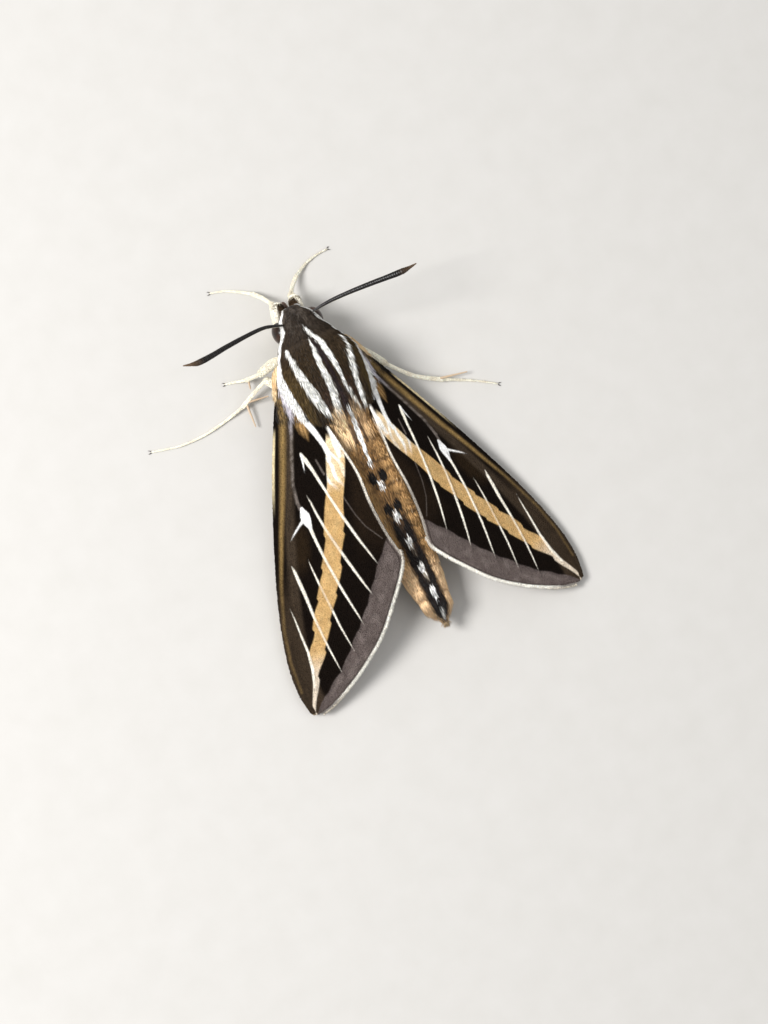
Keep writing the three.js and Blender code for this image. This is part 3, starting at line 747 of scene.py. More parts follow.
def clothe(name, line, radius, spacing, size, rise, paint, material, ends=(0, 1)):
    """Staggered scales lying along a limb; paint gives a colour for (share, turn)."""
    tangent, aside, over = frames_along(line)
    reach = reach_along(line)
    rows = np.arange(ends[0] * reach[-1] + 0.05, ends[1] * reach[-1] - 0.02, spacing)
    stops, turns = [], []
    for row, stop in enumerate(rows):
        count = max(5, int(2 * math.pi * np.interp(stop, reach, radius) / spacing * 1.2))
        turns.append((np.arange(count) + 0.5 * (row % 2)) * 2 * math.pi / count)
        stops.append(np.full(count, stop))
    stops, turns = np.concatenate(stops), np.concatenate(turns)
    stops = np.clip(stops + 0.3 * spacing * chance.normal(size=len(stops)), 0, reach[-1])
    turns = turns + 0.25 * chance.normal(size=len(turns)) * spacing / radius.mean()
    pick = lambda values: np.stack([np.interp(stops, reach, values[:, k]) for k in range(3)], -1)
    along, side, up = pick(tangent), pick(aside), pick(over)
    normal = side * np.sin(turns)[:, None] + up * np.cos(turns)[:, None]
    normal /= np.linalg.norm(normal, axis=1, keepdims=True)
    root = pick(line) + normal * (np.interp(stops, reach, radius) - 0.02)[:, None]
    share = stops / reach[-1]
    count = len(root)
    add_blades(name, SCALE, root, along, normal,
               [part * chance.uniform(0.8, 1.2, count) for part in size],
               rise * chance.uniform(0.5, 1.5, count), 0.1 * chance.normal(size=count),
               varied(paint(share, turns), 0.08),
               (on_chart(share, (0, 1)), (turns / (2 * math.pi)) % 1), material)


def palp_colour(share, turn, side):
    share, turn = np.broadcast_arrays(share, turn)
    colour = plain("#f6efdf", share.shape)
    return painted(colour, ramp(np.cos(turn + side * 0.75), 0.2, 0.7), "#3f3021")


limb_cuticle = chitin("limb_cuticle", 0.6, 0.1, 0.02)
smooth_scales = scale_coat("smooth_scales", 0.75, 0.0, 0.08)
for name, side in SIDES.items():
    paint = lambda share, turn, side=side: palp_colour(share, turn, side)
    line = smooth_line([at(side * x, station, z) for x, station, z in PALP_LINE], 0.06)
    share = np.linspace(0, 1, len(line))
    radius = round_ends(line, 0.64 + 0.12 * np.sin(math.pi * share))
    rings, turn = tube(line, radius, 28)
    add_rings(f"palp_lobe_{name}", rings, paint(share[:, None], turn[None]) * 0.8,
              limb_cuticle, [f"palp_{name}"])
    clothe(f"palp_scales_{name}", line, radius, 0.1, (0.36, 0.13), 0.25, paint, smooth_scales)


# --- Tongue ----------------------------------------------------------------------------------
# The proboscis, coiled like a watch spring between the palps: a brown tube of two horny
# halves, ringed along its whole length.
TONGUE = {"turns": 1.3, "outer": 1.05, "inner": 0.31, "station": 0.9, "height": 2.5,
          "radius": 0.24, "narrowing": 0.35, "ring": 0.11}
TONGUE_STEP = 0.03

dark_cuticle = chitin("dark_cuticle", 0.42, 0.08, 0.015, 0.5)
turns = np.linspace(0, 1, 120)
angle = math.pi / 2 - turns * TONGUE["turns"] * 2 * math.pi
reach = TONGUE["outer"] + (TONGUE["inner"] - TONGUE["outer"]) * turns
coil = evenly(at(0, TONGUE["station"] - reach * np.cos(angle),
                 TONGUE["height"] + reach * np.sin(angle)), TONGUE_STEP)
length_along = np.arange(len(coil)) * TONGUE_STEP
ringed = 1 - 0.07 * np.abs(np.sin(math.pi * length_along / TONGUE["ring"]))
narrowed = TONGUE["radius"] * (1 - TONGUE["narrowing"] * np.linspace(0, 1, len(coil)))
rings, _ = tube(coil, round_ends(coil, narrowed) * ringed)
add_rings("proboscis_coil", rings, plain("#4d2f1a", rings.shape[:2]), dark_cuticle,
          ["proboscis"])


# --- Antennae --------------------------------------------------------------------------------
# Stiff many-jointed feelers that thicken to a club and end in a fine hook: black-brown
# above, with a pale line of scales along the rear edge.
ANTENNA_ROOT = [1.9, 2.5, 6.5]
ANTENNA_LINES = {
    "left": [[-3.8, 1.95, 7.3], [-5.5, 1.9, 8.0], [-9.6, 2.2, 9.6], [-13.2, 2.5, 11.0],
             [-14.8, 2.1, 11.3]],
    "right": [[3.6, 2.4, 7.6], [5.8, 2.5, 8.7], [8.9, 2.8, 9.9], [12.2, 3.15, 11.1],
              [13.8, 3.05, 11.5]],
}
ANTENNA_RADII = [[0, 0.13], [0.12, 0.2], [0.4, 0.26], [0.7, 0.31], [0.86, 0.34], [0.93, 0.17],
                 [1, 0.07]]
ANTENNA_JOINT = 0.26
ANTENNA_STEP = 0.04


def antenna_colour(share, turn, side):
    share, turn = np.broadcast_arrays(share, turn)
    colour = plain("#110b0a", share.shape)
    colour = painted(colour, ramp(share, 0.8, 0.97), "#665240")
    pale = inside(np.abs(np.angle(np.exp(1j * (turn - side * 1.6)))), 0.34, 0.3)
    return painted(colour, pale * (1 - ramp(share, 0.25, 0.6)), "#efe4cc")


for name, side in SIDES.items():
    root = [side * ANTENNA_ROOT[0], *ANTENNA_ROOT[1:]]
    line = smooth_line([at(*point) for point in [root, *ANTENNA_LINES[name]]], ANTENNA_STEP)
    share = np.linspace(0, 1, len(line))
    joints = (np.arange(len(line)) * ANTENNA_STEP / ANTENNA_JOINT) % 1
    thick = round_ends(line, curve(ANTENNA_RADII, share)) * (0.9 + 0.12 * joints ** 0.7)
    paint = lambda share, turn, side=side: antenna_colour(share, turn, side)
    rings, turn = tube(line, thick)
    add_rings(f"antenna_shaft_{name}", rings, paint(share[:, None], turn[None]),
              dark_cuticle, [f"antenna_{name}"])
    clothe(f"antenna_scales_{name}", line, thick, 0.09, (0.18, 0.08), 0.15, paint,
           smooth_scales, ends=(0.06, 0.97))


# --- Forewings -------------------------------------------------------------------------------
# Each is a thin, slightly arched membrane stiffened by veins, roofed down from the body to
# its front edge. Overlapping scales cover both faces and carry all its colour, and a white
# fringe of longer scales edges its outer margin.
WING_LENGTH = 37.3
WING_HINGE = at(4.3, 8.6, 5.0)
WING_TIP = at(17.0, 43.0, 1.0)
ROOF_AT_BASE = math.radians(38)
ROOF_FALL_PER_MM = math.radians(0.75)
WING_CAMBER = 0.9
WING_CAMBER_CHORD = 15
MEMBRANE_HALF = 0.12
VEIN_RIDGE = 0.05
UPPER_SCALES = {"row_step": 0.12, "spacing": 0.106, "size": (0.3, 0.17)}
UNDER_SCALES = {"row_step": 0.3, "spacing": 0.26, "size": (0.5, 0.34)}
FRINGE = {"start": 19.4, "spacing": 0.045, "length": 0.6, "width": 0.13}
ROOT_HAIR = {"count": 2600, "reach": (-2.3, 3.4), "length": 1.1, "width": 0.12}
SHOULDER_TUFT = {"count": 900, "start": -2.2, "reach": 3.0, "length": 1.5, "width": 0.1}
FRONT_EDGE = [[-2.6, -0.4], [-2.0, -1.1], [0, -1.35], [4, -2.0], [10, -2.7], [17, -3.15],
              [25, -3.3], [31, -2.8], [34.5, -1.9], [36.6, -0.8], [37.3, -0.2]]
REAR_EDGE = [[-2.6, 0.6], [0, 2.2], [4.8, 4.9], [10, 7.8], [14, 9.0], [17.6, 10.4], [20.4, 11.8],
             [22, 11.5], [25, 10.3], [29, 8.4], [33, 5.4], [36, 2.4], [37.3, 0.4]]
# Markings, as (length from the hinge, offset across the wing), negative to the front edge,
# with a width after them where it is a stripe.
BAND_FRONT = [[6.2, 4.5], [7.6, 4.3], [10, 4.1], [11.5, 4.0], [13.2, 3.55], [15, 3.2], [17, 3.0],
              [19, 2.65], [20.6, 2.3], [22.2, 1.8], [24, 1.4], [25.7, 0.8], [28.4, 0.35],
              [30, -0.15], [32.5, -0.15], [35.3, -0.3], [37, -0.35]]
BAND_REAR = [[6.2, 6.2], [8.3, 6.5], [10.3, 6.3], [12.3, 5.9], [14, 5.6], [16, 5.5], [18.5, 4.9],
             [20, 4.6], [22.2, 4.1], [25, 3.1], [26.9, 2.5], [29, 1.9], [30.8, 1.3], [32.6, 0.6],
             [34.3, 0.3], [35.5, 0.05], [37, -0.1]]
OUTER_BAND = [[17.2, 10.6], [18.8, 9.7], [21.4, 8.5], [23.9, 7.5], [26.8, 6.2], [29.4, 4.8],
              [32, 3.4], [34, 1.9], [36.2, 0.4], [37.3, -0.2]]
WHITE_VEINS = [
    [[7.8, 1.1, 0.3], [8.5, 1.6, 0.5], [9.7, 2.4, 0.36], [12.6, 4.0, 0.28], [15.3, 5.5, 0.32],
     [17.8, 6.95, 0.26], [19.8, 8.2, 0.14], [21.0, 8.9, -0.07]],
    [[12.3, 1.25, -0.07], [13.3, 1.75, 0.16], [14.5, 2.25, 0.26], [16.6, 3.3, 0.28],
     [18.7, 4.5, 0.32], [21.2, 5.95, 0.28], [23.3, 7.2, 0.16], [24.4, 7.9, -0.07]],
    [[15.2, 1.0, 0.5], [17.2, 1.7, 0.34], [19.7, 2.7, 0.3], [23.4, 4.35, 0.27],
     [26.2, 5.75, 0.15], [27.6, 6.4, -0.07]],
    [[19.3, 0.55, -0.07], [20.6, 1.0, 0.12], [22.2, 1.6, 0.22], [25, 2.7, 0.24],
     [27.4, 3.6, 0.2], [29.2, 4.4, 0.12], [30.6, 5.0, -0.07]],
    [[20.1, -1.4, -0.05], [20.9, -1.05, 0.3], [22.2, -0.6, 0.38], [23.6, -0.1, 0.36],
     [26, 0.65, 0.3], [29.2, 1.8, 0.22], [31.6, 2.8, 0.1], [32.8, 3.3, -0.07]],
    [[24.6, -2.1, -0.07], [26.2, -1.55, 0.12], [27.9, -1.05, 0.2], [30, -0.4, 0.26],
     [32, -0.05, 0.36], [34, -0.05, 0.2]],
]
WHITE_MARKS = [
    [[7.9, 1.15, 0.3], [8.9, 1.28, 0.2], [10.0, 1.35, -0.05]],
    [[13.9, 0.5, 0.4], [14.7, 0.8, 1.2], [15.3, 1.0, 1.1], [16.1, 1.35, 0.45]],
    [[15.0, 0.8, 0.5], [15.7, 0.1, 0.24], [16.5, -0.55, 0.18], [17.5, -1.25, -0.05]],
]
BAND_DIMS = [0.05, 0.45, 0.15, 0.6, 0.4, 0.2]      # how far each vein fades in the tan band
FAINT_MARKS = [
    [[14.7, 0.8, 0.5], [13.8, 0.25, 0.4], [12.3, -0.15, 0.3]],
    [[8.6, 2.95, 0.16], [10.2, 3.75, 0.26]],
    [[12.9, 5.75, 0.1], [15, 6.9, 0.08], [16.4, 7.9, 0.07], [17.9, 9.6, 0.06]],
]
GOLD_STRIPE = [[-0.9, -0.75, 0.4], [1, -0.85, 0.85], [3, -0.9, 0.95], [4.8, -0.9, 0.9],
               [9, -1.3, 0.85], [13.1, -1.75, 0.7], [17.1, -2.25, 0.54], [22.4, -2.75, 0.38],
               [27.5, -2.85, 0.3], [31.2, -2.45, 0.25], [34.5, -1.55, 0.18]]
GREY_STREAK = [[-2.5, -0.2, 1.3], [-0.5, -0.5, 1.3], [1.2, -0.3, 1.0], [2.9, 0.2, 0.5],
               [5.9, 0.1, 0.34], [8.5, -0.15, 0.34], [11, -0.3, 0.3], [13.2, 0.0, 0.34]]
SHOULDER_STRIPE = [[-2.5, -0.5, 0.9], [-1.3, -0.75, 1.1], [0.8, 0.1, 1.25], [2.2, 1.05, 1.1],
                   [4.3, 2.25, 0.84], [5.7, 3.3, 0.66], [7, 4.15, 0.56], [8.6, 4.7, 0.4]]
INNER_PATCH = [[4.6, 4.8, 0.6], [5.8, 5.5, 1.0], [7.0, 5.7, 0.9], [8.4, 5.9, 0.4]]
TAN_SPOT = [[1.7, 0.7, 0.0], [3.2, 1.05, 0.7], [4.4, 1.45, 1.15], [5.3, 1.85, 0.85],
            [6.4, 2.3, -0.5]]
VEIN_SPACING = 2.25


def wing_point(side, along, across, above):
    """Point by the forewing's middle surface, a given height above it."""
    spine = (WING_TIP - WING_HINGE) / np.linalg.norm(WING_TIP - WING_HINGE)
    level = np.cross(spine, (0, 0, 1))
    level = level / np.linalg.norm(level)
    over = np.cross(level, spine)
    along, across = np.broadcast_arrays(np.asarray(along, float), np.asarray(across, float))
    roof = (ROOF_AT_BASE - ROOF_FALL_PER_MM * along)[..., None]
    chord = level * np.cos(roof) + over * np.sin(roof)
    normal = -level * np.sin(roof) + over * np.cos(roof)
    arch = np.sin(math.pi * np.clip(across / WING_CAMBER_CHORD, 0, 1))
    swell = np.sqrt(np.sin(math.pi * np.clip(along / WING_LENGTH, 0.0001, 0.9999)))
    lift = (WING_CAMBER * arch * swell + above)[..., None]
    point = WING_HINGE + spine * along[..., None] + chord * across[..., None] + normal * lift
    return point * np.array([side, 1, 1])


def forewing_colour(along, across):
    """Near-black field with the tan band, white veins, gold front edge and grey margin."""
    front, rear = curve(FRONT_EDGE, along), curve(REAR_EDGE, along)
    from_front = across - front
    colour = plain("#130d09", along.shape)
    # The cells near the body and a cloud beyond the star are warmer brown.
    colour = painted(colour, ramp(across, 5.8, 7.5) * (1 - ramp(along, 16, 21)) * 0.8, "#261c13")
    cloud = np.hypot((along - 18.3) / 2.6, (across + 0.3) / 1.3)
    colour = painted(colour, inside(cloud, 1, 0.7) * 0.8, "#2b2014")
    # Front edge: a cream line, a dark one, the streaky gold stripe and a grey-brown one.
    gold = 1 - ramp(along, 17, 26)
    fibre = 0.5 + 0.5 * np.sin(9.0 * from_front + 1.6 * np.sin(0.9 * along) + 0.7 * along)
    soft = inside(np.abs(from_front - 2.0), 0.55, 0.5) * ramp(along, 2, 4)
    colour = painted(colour, soft * (0.75 + 0.25 * fibre), "#43382d")
    tip_front = ramp(along, 20, 27) * (1 - ramp(from_front, 1.6, 3.0))
    colour = painted(colour, tip_front * (0.8 + 0.2 * fibre), "#3b3025")
    broad = stripe(GOLD_STRIPE, along, across, 0.3)
    colour = painted(colour, broad * (0.55 + 0.45 * gold), "#6f5a3a")
    core = stripe([[u, v, 0.45 * width] for u, v, width in GOLD_STRIPE], along, across, 0.3)
    colour = painted(colour, core * (0.25 + 0.75 * gold) * (0.55 + 0.45 * fibre), "#967b4c")
    edging = inside(from_front, 0.3, 0.12)
    colour = painted(colour, edging * between(along, (4.5, 6.0), (10, 15)), "#d9c8a0")
    # Grey streak from the base to the white star, brightest at its root.
    streak = stripe(GREY_STREAK, along, across, 0.25)
    patchy = 0.65 + 0.35 * np.sin(4.1 * along + 2.4 * np.sin(2.3 * along) + 5 * across)
    colour = painted(colour, streak * patchy * ramp(along, 2, 5), "#80766e")
    colour = painted(colour, streak * (1 - ramp(along, 2.5, 6.5)), "#cfc9d0")
    # Outer margin: a mauve-grey band, mottled, with a thin dark line along the fringe.
    depth = across - curve(OUTER_BAND, along)
    cell = (0.9 * across - 0.43 * along) / VEIN_SPACING
    scallop = 0.16 * np.abs(np.sin(math.pi * cell)) - 0.08
    margin = ramp(along, 17.3, 18.3) * inside(-depth - scallop, 0.0, 0.1)
    colour = painted(colour, margin, "#655a56")
    cloudy = np.sin(1.9 * along + 1.3 * np.sin(2.7 * across)) * np.sin(2.3 * across + 0.8 * along)
    colour = painted(colour, margin * ramp(cloudy, 0.0, 0.9) * 0.5, "#80746f")
    colour = painted(colour, margin * inside(depth, 0.35, 0.3) * 0.35, "#453c3b")
    # Tan band, its edges stepped where the veins cross it; paler and pinker at the base.
    step = (cell + 0.1) % 1
    edge_front = curve(BAND_FRONT, along) + 0.3 * (step - 0.5) * ramp(along, 14, 18)
    edge_rear = curve(BAND_REAR, along) + 0.26 * (step - 0.5) * ramp(along, 12, 18)
    band = inside(np.abs(across - (edge_front + edge_rear) / 2), (edge_rear - edge_front) / 2, 0.1)
    band = band * ramp(along, 5.6, 6.6)
    band_colour = painted(plain("#c8a36d", along.shape), ramp(cloudy, -0.2, 0.8) * 0.35, "#d8b681")
    band_colour = painted(band_colour, ramp(along, 29.5, 33.5), "#dccdb9")
    pale = (1 - ramp(along, 10.5, 12.5)) * (1 - 0.6 * ramp(across, 5.0, 6.2))
    band_colour = painted(band_colour, pale, "#ecd3ab")
    streaks = np.sin(2 * math.pi * (0.85 * across - 0.5 * along) / 1.0 + 1.2 * np.sin(1.9 * along))
    band_colour = painted(band_colour, pale * ramp(streaks, -0.1, 0.7), "#fff9f0")
    colour = colour + (band_colour - colour) * band[..., None]
    for mark in FAINT_MARKS:
        colour = painted(colour, stripe(mark, along, across, 0.12) * 0.65, "#7d736c")
    for mark, dim in zip(WHITE_VEINS, BAND_DIMS):
        colour = painted(colour, stripe(mark, along, across) * (1 - dim * band), "#f6efe0")
    for mark in WHITE_MARKS:
        colour = painted(colour, stripe(mark, along, across), "#fffdfa")
    # Inner margin: a white line that greys towards the outer corner.
    inner = inside(np.abs(rear - 0.2 - across), 0.14, 0.1) * between(along, (4.5, 6), (20, 21))
    colour = painted(colour, inner, "#efe7d9")
    colour = painted(colour, inner * ramp(along, 11, 16) * 0.7, "#6f655c")
    # Fringe: dark at its root, then white as far as the tip.
    hem = rear - across
    colour = painted(colour, margin * inside(np.abs(hem - 0.64), 0.08, 0.12) * 0.8, "#2a211c")
    white = inside(hem, 0.52, 0.08) * ramp(along, 20.3, 21.0)
    colour = painted(colour, white * (1 - 0.75 * ramp(along, 34.5, 36.3)), "#fbf6ea")
    # Wing base: a patch of orange-tan hair and the white stripe of the shoulder.
    strands = ramp(np.sin(13 * across + 2.2 * np.sin(1.7 * along)), -0.9, 0.4)
    tan = stripe(TAN_SPOT, along, across, 0.8) * (0.5 + 0.5 * strands)
    colour = painted(colour, tan, "#bb9461")
    colour = painted(colour, stripe(INNER_PATCH, along, across, 0.25) * 0.9, "#fdf8f0")
    return painted(colour, stripe(SHOULDER_STRIPE, along, across, 0.14), "#fffdf8")


def forewing_under_colour(along, across):
    """The hidden face: dull brown, paler along the front edge and towards the margin."""
    from_front = across - curve(FRONT_EDGE, along)
    colour = plain("#8a7355", along.shape)
    colour = painted(colour, 1 - ramp(from_front, 0.6, 1.8), "#b49c72")
    colour = painted(colour, 0.5 * np.exp(-(((along - 18) / 4) ** 2)), "#5a4836")
    return painted(colour, ramp(along, 30, 35) * 0.6, "#a08c78")


def vein_ridge(along, across):
    """Height of the veins above the membrane."""
    height = np.zeros(np.shape(along))
    for vein in WHITE_VEINS:
        gap, _ = distance_to(vein, along, across)
        height = np.maximum(height, np.exp(-((gap / 0.2) ** 2)))
    return VEIN_RIDGE * height


def on_wing(side, along, across, above, fan, face=1):
    """Root, lie and outward normal of scales on a wing, each turned by fan to its rear."""
    step = 0.05
    root = wing_point(side, along, across, above)
    e_along = wing_point(side, along + step, across, above) - root
    e_across = wing_point(side, along, across + step, above) - root
    lie = e_along * np.cos(fan)[:, None] + e_across * np.sin(fan)[:, None]
    lie /= np.linalg.norm(lie, axis=1, keepdims=True)
    normal = np.cross(e_across, e_along) * side * face
    normal /= np.linalg.norm(normal, axis=1, keepdims=True)
    return root, lie, normal - lie * np.sum(lie * normal, axis=1, keepdims=True)


def edge_thinning(portion):
    """Thickness of a wing's plate across it, from 0 at both edges to 1 in the middle."""
    return np.clip(4 * portion * (1 - portion), 0, 1) ** 0.3


def forewing_front(along):
    return curve(FRONT_EDGE, along)


def forewing_rear(along):
    """The plate's rear edge, short of the outline by the fringe where there is one."""
    return curve(REAR_EDGE, along) - FRINGE["length"] * 0.8 * ramp(along, 18.5, 21) - 0.05


wing_membrane = chitin("wing_membrane", 0.75, 0.2, 0.02, 0.1)
wing_scales = scale_coat("wing_scales", 0.75, 0.0, 0.03, 0.9, 1.28)
FOREWING = {"front": forewing_front, "rear": forewing_rear, "half": MEMBRANE_HALF, "height": 0,
            "upper": forewing_colour, "under": forewing_under_colour}


def add_membrane(name, side, stops, wing, replaced):
    """The wing's thin plate, sharp at both edges, as closed rings round each stop."""
    share = (1 - np.cos(np.linspace(0, math.pi, 64))) / 2
    along, portion = np.meshgrid(stops, share, indexing="ij")
    across = wing["front"](along) + (wing["rear"](along) - wing["front"](along)) * portion
    thin = wing["half"] * edge_thinning(portion)
    thin = thin * np.clip((stops[-1] - along + 0.1) / 1.0, 0.1, 1)
    ridge = vein_ridge(along, across) * np.clip(thin / wing["half"], 0, 1)
    top = wing_point(side, along, across, wing["height"] + thin + ridge)
    under = wing_point(side, along, across, wing["height"] - thin)
    rings = np.concatenate([top, under[:, -2:0:-1]], 1)
    colour = np.concatenate(
        [wing["upper"](along, across), wing["under"](along, across)[:, -2:0:-1]], 1)
    if side < 0:
        rings, colour = rings[:, ::-1], colour[:, ::-1]
    add_rings(name, rings, colour * 0.8, wing_membrane, replaced)


def add_wing_scales(name, side, reach, wing, face, scales):
    """Overlapping scales in rows across one face of a wing, lying towards its outer margin."""
    front, rear, spacing = wing["front"], wing["rear"], scales["spacing"]
    paint = wing["upper" if face > 0 else "under"]
    along, across = [], []
    for row, stop in enumerate(np.arange(*reach, scales["row_step"])):
        low, high = front(stop), rear(stop)
        count = max(2, int((high - low) / spacing))
        offsets = low + (np.arange(count) + 0.5 * (row % 2)) * (high - low) / count
        across.append(offsets + 0.2 * spacing * chance.normal(size=count))
        along.append(stop + 0.3 * scales["row_step"] * chance.normal(size=count))
    along, across = np.concatenate(along), np.concatenate(across)
    hem = 0.02 if face > 0 else 0.3
    across = np.clip(across, front(along) + hem, rear(along) - 0.02 - hem)
    portion = np.clip((across - front(along)) / (rear(along) - front(along)), 0, 1)
    ridge = vein_ridge(along, across) if face > 0 else 0
    above = wing["height"] + face * (wing["half"] * edge_thinning(portion) + ridge)
    count = len(along)
    fan = np.radians(3 + 24 * portion) + 0.08 * chance.normal(size=count)
    root, lie, normal = on_wing(side, along, across, above, fan, face)
    tint = (1 + 0.09 * chance.normal(size=count))[:, None, None]

    def colour(left, forward):
        turn, out = fan[:, None], left * side * face
        outwards = along[:, None] + forward * np.cos(turn) - out * np.sin(turn)
        rearwards = across[:, None] + forward * np.sin(turn) + out * np.cos(turn)
        return np.clip(tint * paint(outwards, rearwards), 0, 1)

    widest = np.min(FRONT_EDGE, 0)[1], np.max(REAR_EDGE, 0)[1]
    add_blades(name, SCALE, root, lie, normal,
               [part * chance.uniform(0.85, 1.15, count) for part in scales["size"]],
               0.14 * chance.uniform(0.6, 1.5, count), 0.06 * chance.normal(size=count),
               colour, (on_chart(along, reach), on_chart(np.clip(across, *widest), widest)),
               wing_scales)


for name, side in SIDES.items():
    add_membrane(f"forewing_membrane_{name}", side, np.linspace(-2.4, WING_LENGTH - 0.4, 230),
                 FOREWING, [f"forewing_{name}"])
    for half, reach in (("inner", (-2.2, 16.5)), ("outer", (16.5, WING_LENGTH - 0.5))):
        add_wing_scales(f"forewing_scales_{half}_{name}", side, reach, FOREWING, 1, UPPER_SCALES)
    add_wing_scales(f"forewing_under_scales_{name}", side, (1.5, WING_LENGTH - 0.5), FOREWING, -1,
                    UNDER_SCALES)

    # Fringe: two ranks of long narrow scales square to the margin.
    along = np.tile(np.arange(FRINGE["start"], WING_LENGTH - 0.5, FRINGE["spacing"]), 2)
    along = along + 0.02 * chance.normal(size=len(along))
    count = len(along)
    slope = (forewing_rear(along + 0.1) - forewing_rear(along - 0.1)) / 0.2
    square = np.arctan(slope) + math.pi / 2
    root, lie, normal = on_wing(side, along, forewing_rear(along) - 0.12, 0, square - 0.33)
    colour = plain("#fbf6ea", along.shape)
    dark = 1 - ramp(along, 20.2, 21.6)
    colour = painted(colour, dark * 0.5 + 0.3 * (chance.uniform(size=count) > 0.94), "#7d6c5c")
    colour = painted(colour, ramp(along, 33, 36) * 0.4, "#c9b493")
    place = on_chart(along), 0.02 + 0.95 * chance.uniform(size=count)
    add_blades(f"forewing_fringe_{name}", HAIR, root, lie, normal,
               (FRINGE["length"] * chance.uniform(0.8, 1.05, count), FRINGE["width"]),
               0.05 * chance.normal(size=count), 0.1 * chance.normal(size=count),
               varied(colour, 0.06), place, wing_scales)

    # Root hair: long and soft, running on from the shoulder over the wing's base.
    count, reach = ROOT_HAIR["count"], ROOT_HAIR["reach"]
    along = chance.uniform(*reach, count)
    front, width = forewing_front(along), forewing_rear(along) - forewing_front(along)
    across = front + 0.25 + chance.uniform(0, 1, count) * (width - 0.35)
    fan = 0.3 + 0.12 * chance.normal(size=count)
    root, lie, normal = on_wing(side, along, across, MEMBRANE_HALF, fan)
    add_blades(f"forewing_root_hair_{name}", HAIR, root, lie, normal,
               (ROOT_HAIR["length"] * chance.uniform(0.7, 1.3, count), ROOT_HAIR["width"]),
               0.2 * chance.uniform(0.2, 1.4, count), 0.08 * chance.normal(size=count),
               varied(forewing_colour(along, across), 0.08),
               (on_chart(along, reach), on_chart(across)), hair_coat)

    # A tuft of tan hair from the shoulder lies along the front of the wing's root.
    count, start = SHOULDER_TUFT["count"], SHOULDER_TUFT["start"]
    along = start + SHOULDER_TUFT["reach"] * chance.beta(1.1, 1.7, count)
    spread = ramp(along, -2.6, -1.2) * (1 - 0.7 * ramp(along, -0.8, 1.0))
    across = forewing_front(along) - chance.uniform(-0.2, 0.4, count) * spread
    fan = 0.08 * chance.normal(size=count) - 0.03
    root, lie, normal = on_wing(side, along, across, chance.uniform(-0.15, 0.15, count), fan)
    colour = painted(plain("#f8e2b8", along.shape), chance.uniform(0, 0.8, count), "#d3a46c")
    length = SHOULDER_TUFT["length"] * chance.uniform(0.55, 1.25, count)
    add_blades(f"shoulder_tuft_{name}", HAIR, root, lie, normal, (length, SHOULDER_TUFT["width"]),
               0.05 * chance.normal(size=count), 0.06 * chance.normal(size=count),
               varied(colour, 0.08), (on_chart(along, (start, start + 3.2)), on_chart(across)),
               hair_coat)


# --- Hindwings -------------------------------------------------------------------------------
# Smaller wings folded away below the forewings: black with a rose band and a pale fringe.
HINDWING_LENGTH = 23
HINDWING_DROP = 0.9
HIND_SCALES = {"row_step": 0.24, "spacing": 0.2, "size": (0.48, 0.27)}
HIND_FRONT_EDGE = [[1.5, 0.2], [8, 0], [16, 1.0], [21, 2.6], [23, 4.6]]
HIND_REAR_EDGE = [[1.5, 2.4], [6, 4.9], [12, 7.4], [18, 9.0], [21.5, 8.4], [23, 6.4]]


def hindwing_colour(along, across):
    colour = plain("#231912", along.shape)
    band = np.exp(-(((along - 12.5 + 0.3 * (across - 4)) / 3.2) ** 2))
    colour = painted(colour, ramp(band, 0.3, 0.6), "#b9655f")
    rear = curve(HIND_REAR_EDGE, along)
    return painted(colour, inside(rear - across, 0.3, 0.2), "#d8c2a8")


def hindwing_under_colour(along, across):
    return painted(plain("#97795c", along.shape), ramp(along, 17, 22) * 0.7, "#6d5642")


HINDWING = {"front": lambda along: curve(HIND_FRONT_EDGE, along),
            "rear": lambda along: curve(HIND_REAR_EDGE, along),
            "half": MEMBRANE_HALF * 0.8, "height": -HINDWING_DROP,
            "upper": hindwing_colour, "under": hindwing_under_colour}
for name, side in SIDES.items():
    add_membrane(f"hindwing_membrane_{name}", side, np.linspace(1.6, HINDWING_LENGTH - 0.1, 110),
                 HINDWING, [f"hindwing_{name}"])
    for face, part in ((1, "scales"), (-1, "under_scales")):
        add_wing_scales(f"hindwing_{part}_{name}", side, (2.5, HINDWING_LENGTH - 0.2), HINDWING,
                        face, HIND_SCALES)


# --- Legs ------------------------------------------------------------------------------------
# Six slender jointed legs clothed in cream scales: thigh, shin with its spurs, and a foot
# of five short joints that ends in two dark claws.
FOOT_RADIUS = 0.27
FOOT_HEIGHT = FOOT_RADIUS * math.cos(math.pi / 8)
LIMB_COAT = 0.05
LEG_PARTS = ("femur", "tibia", "tarsus")
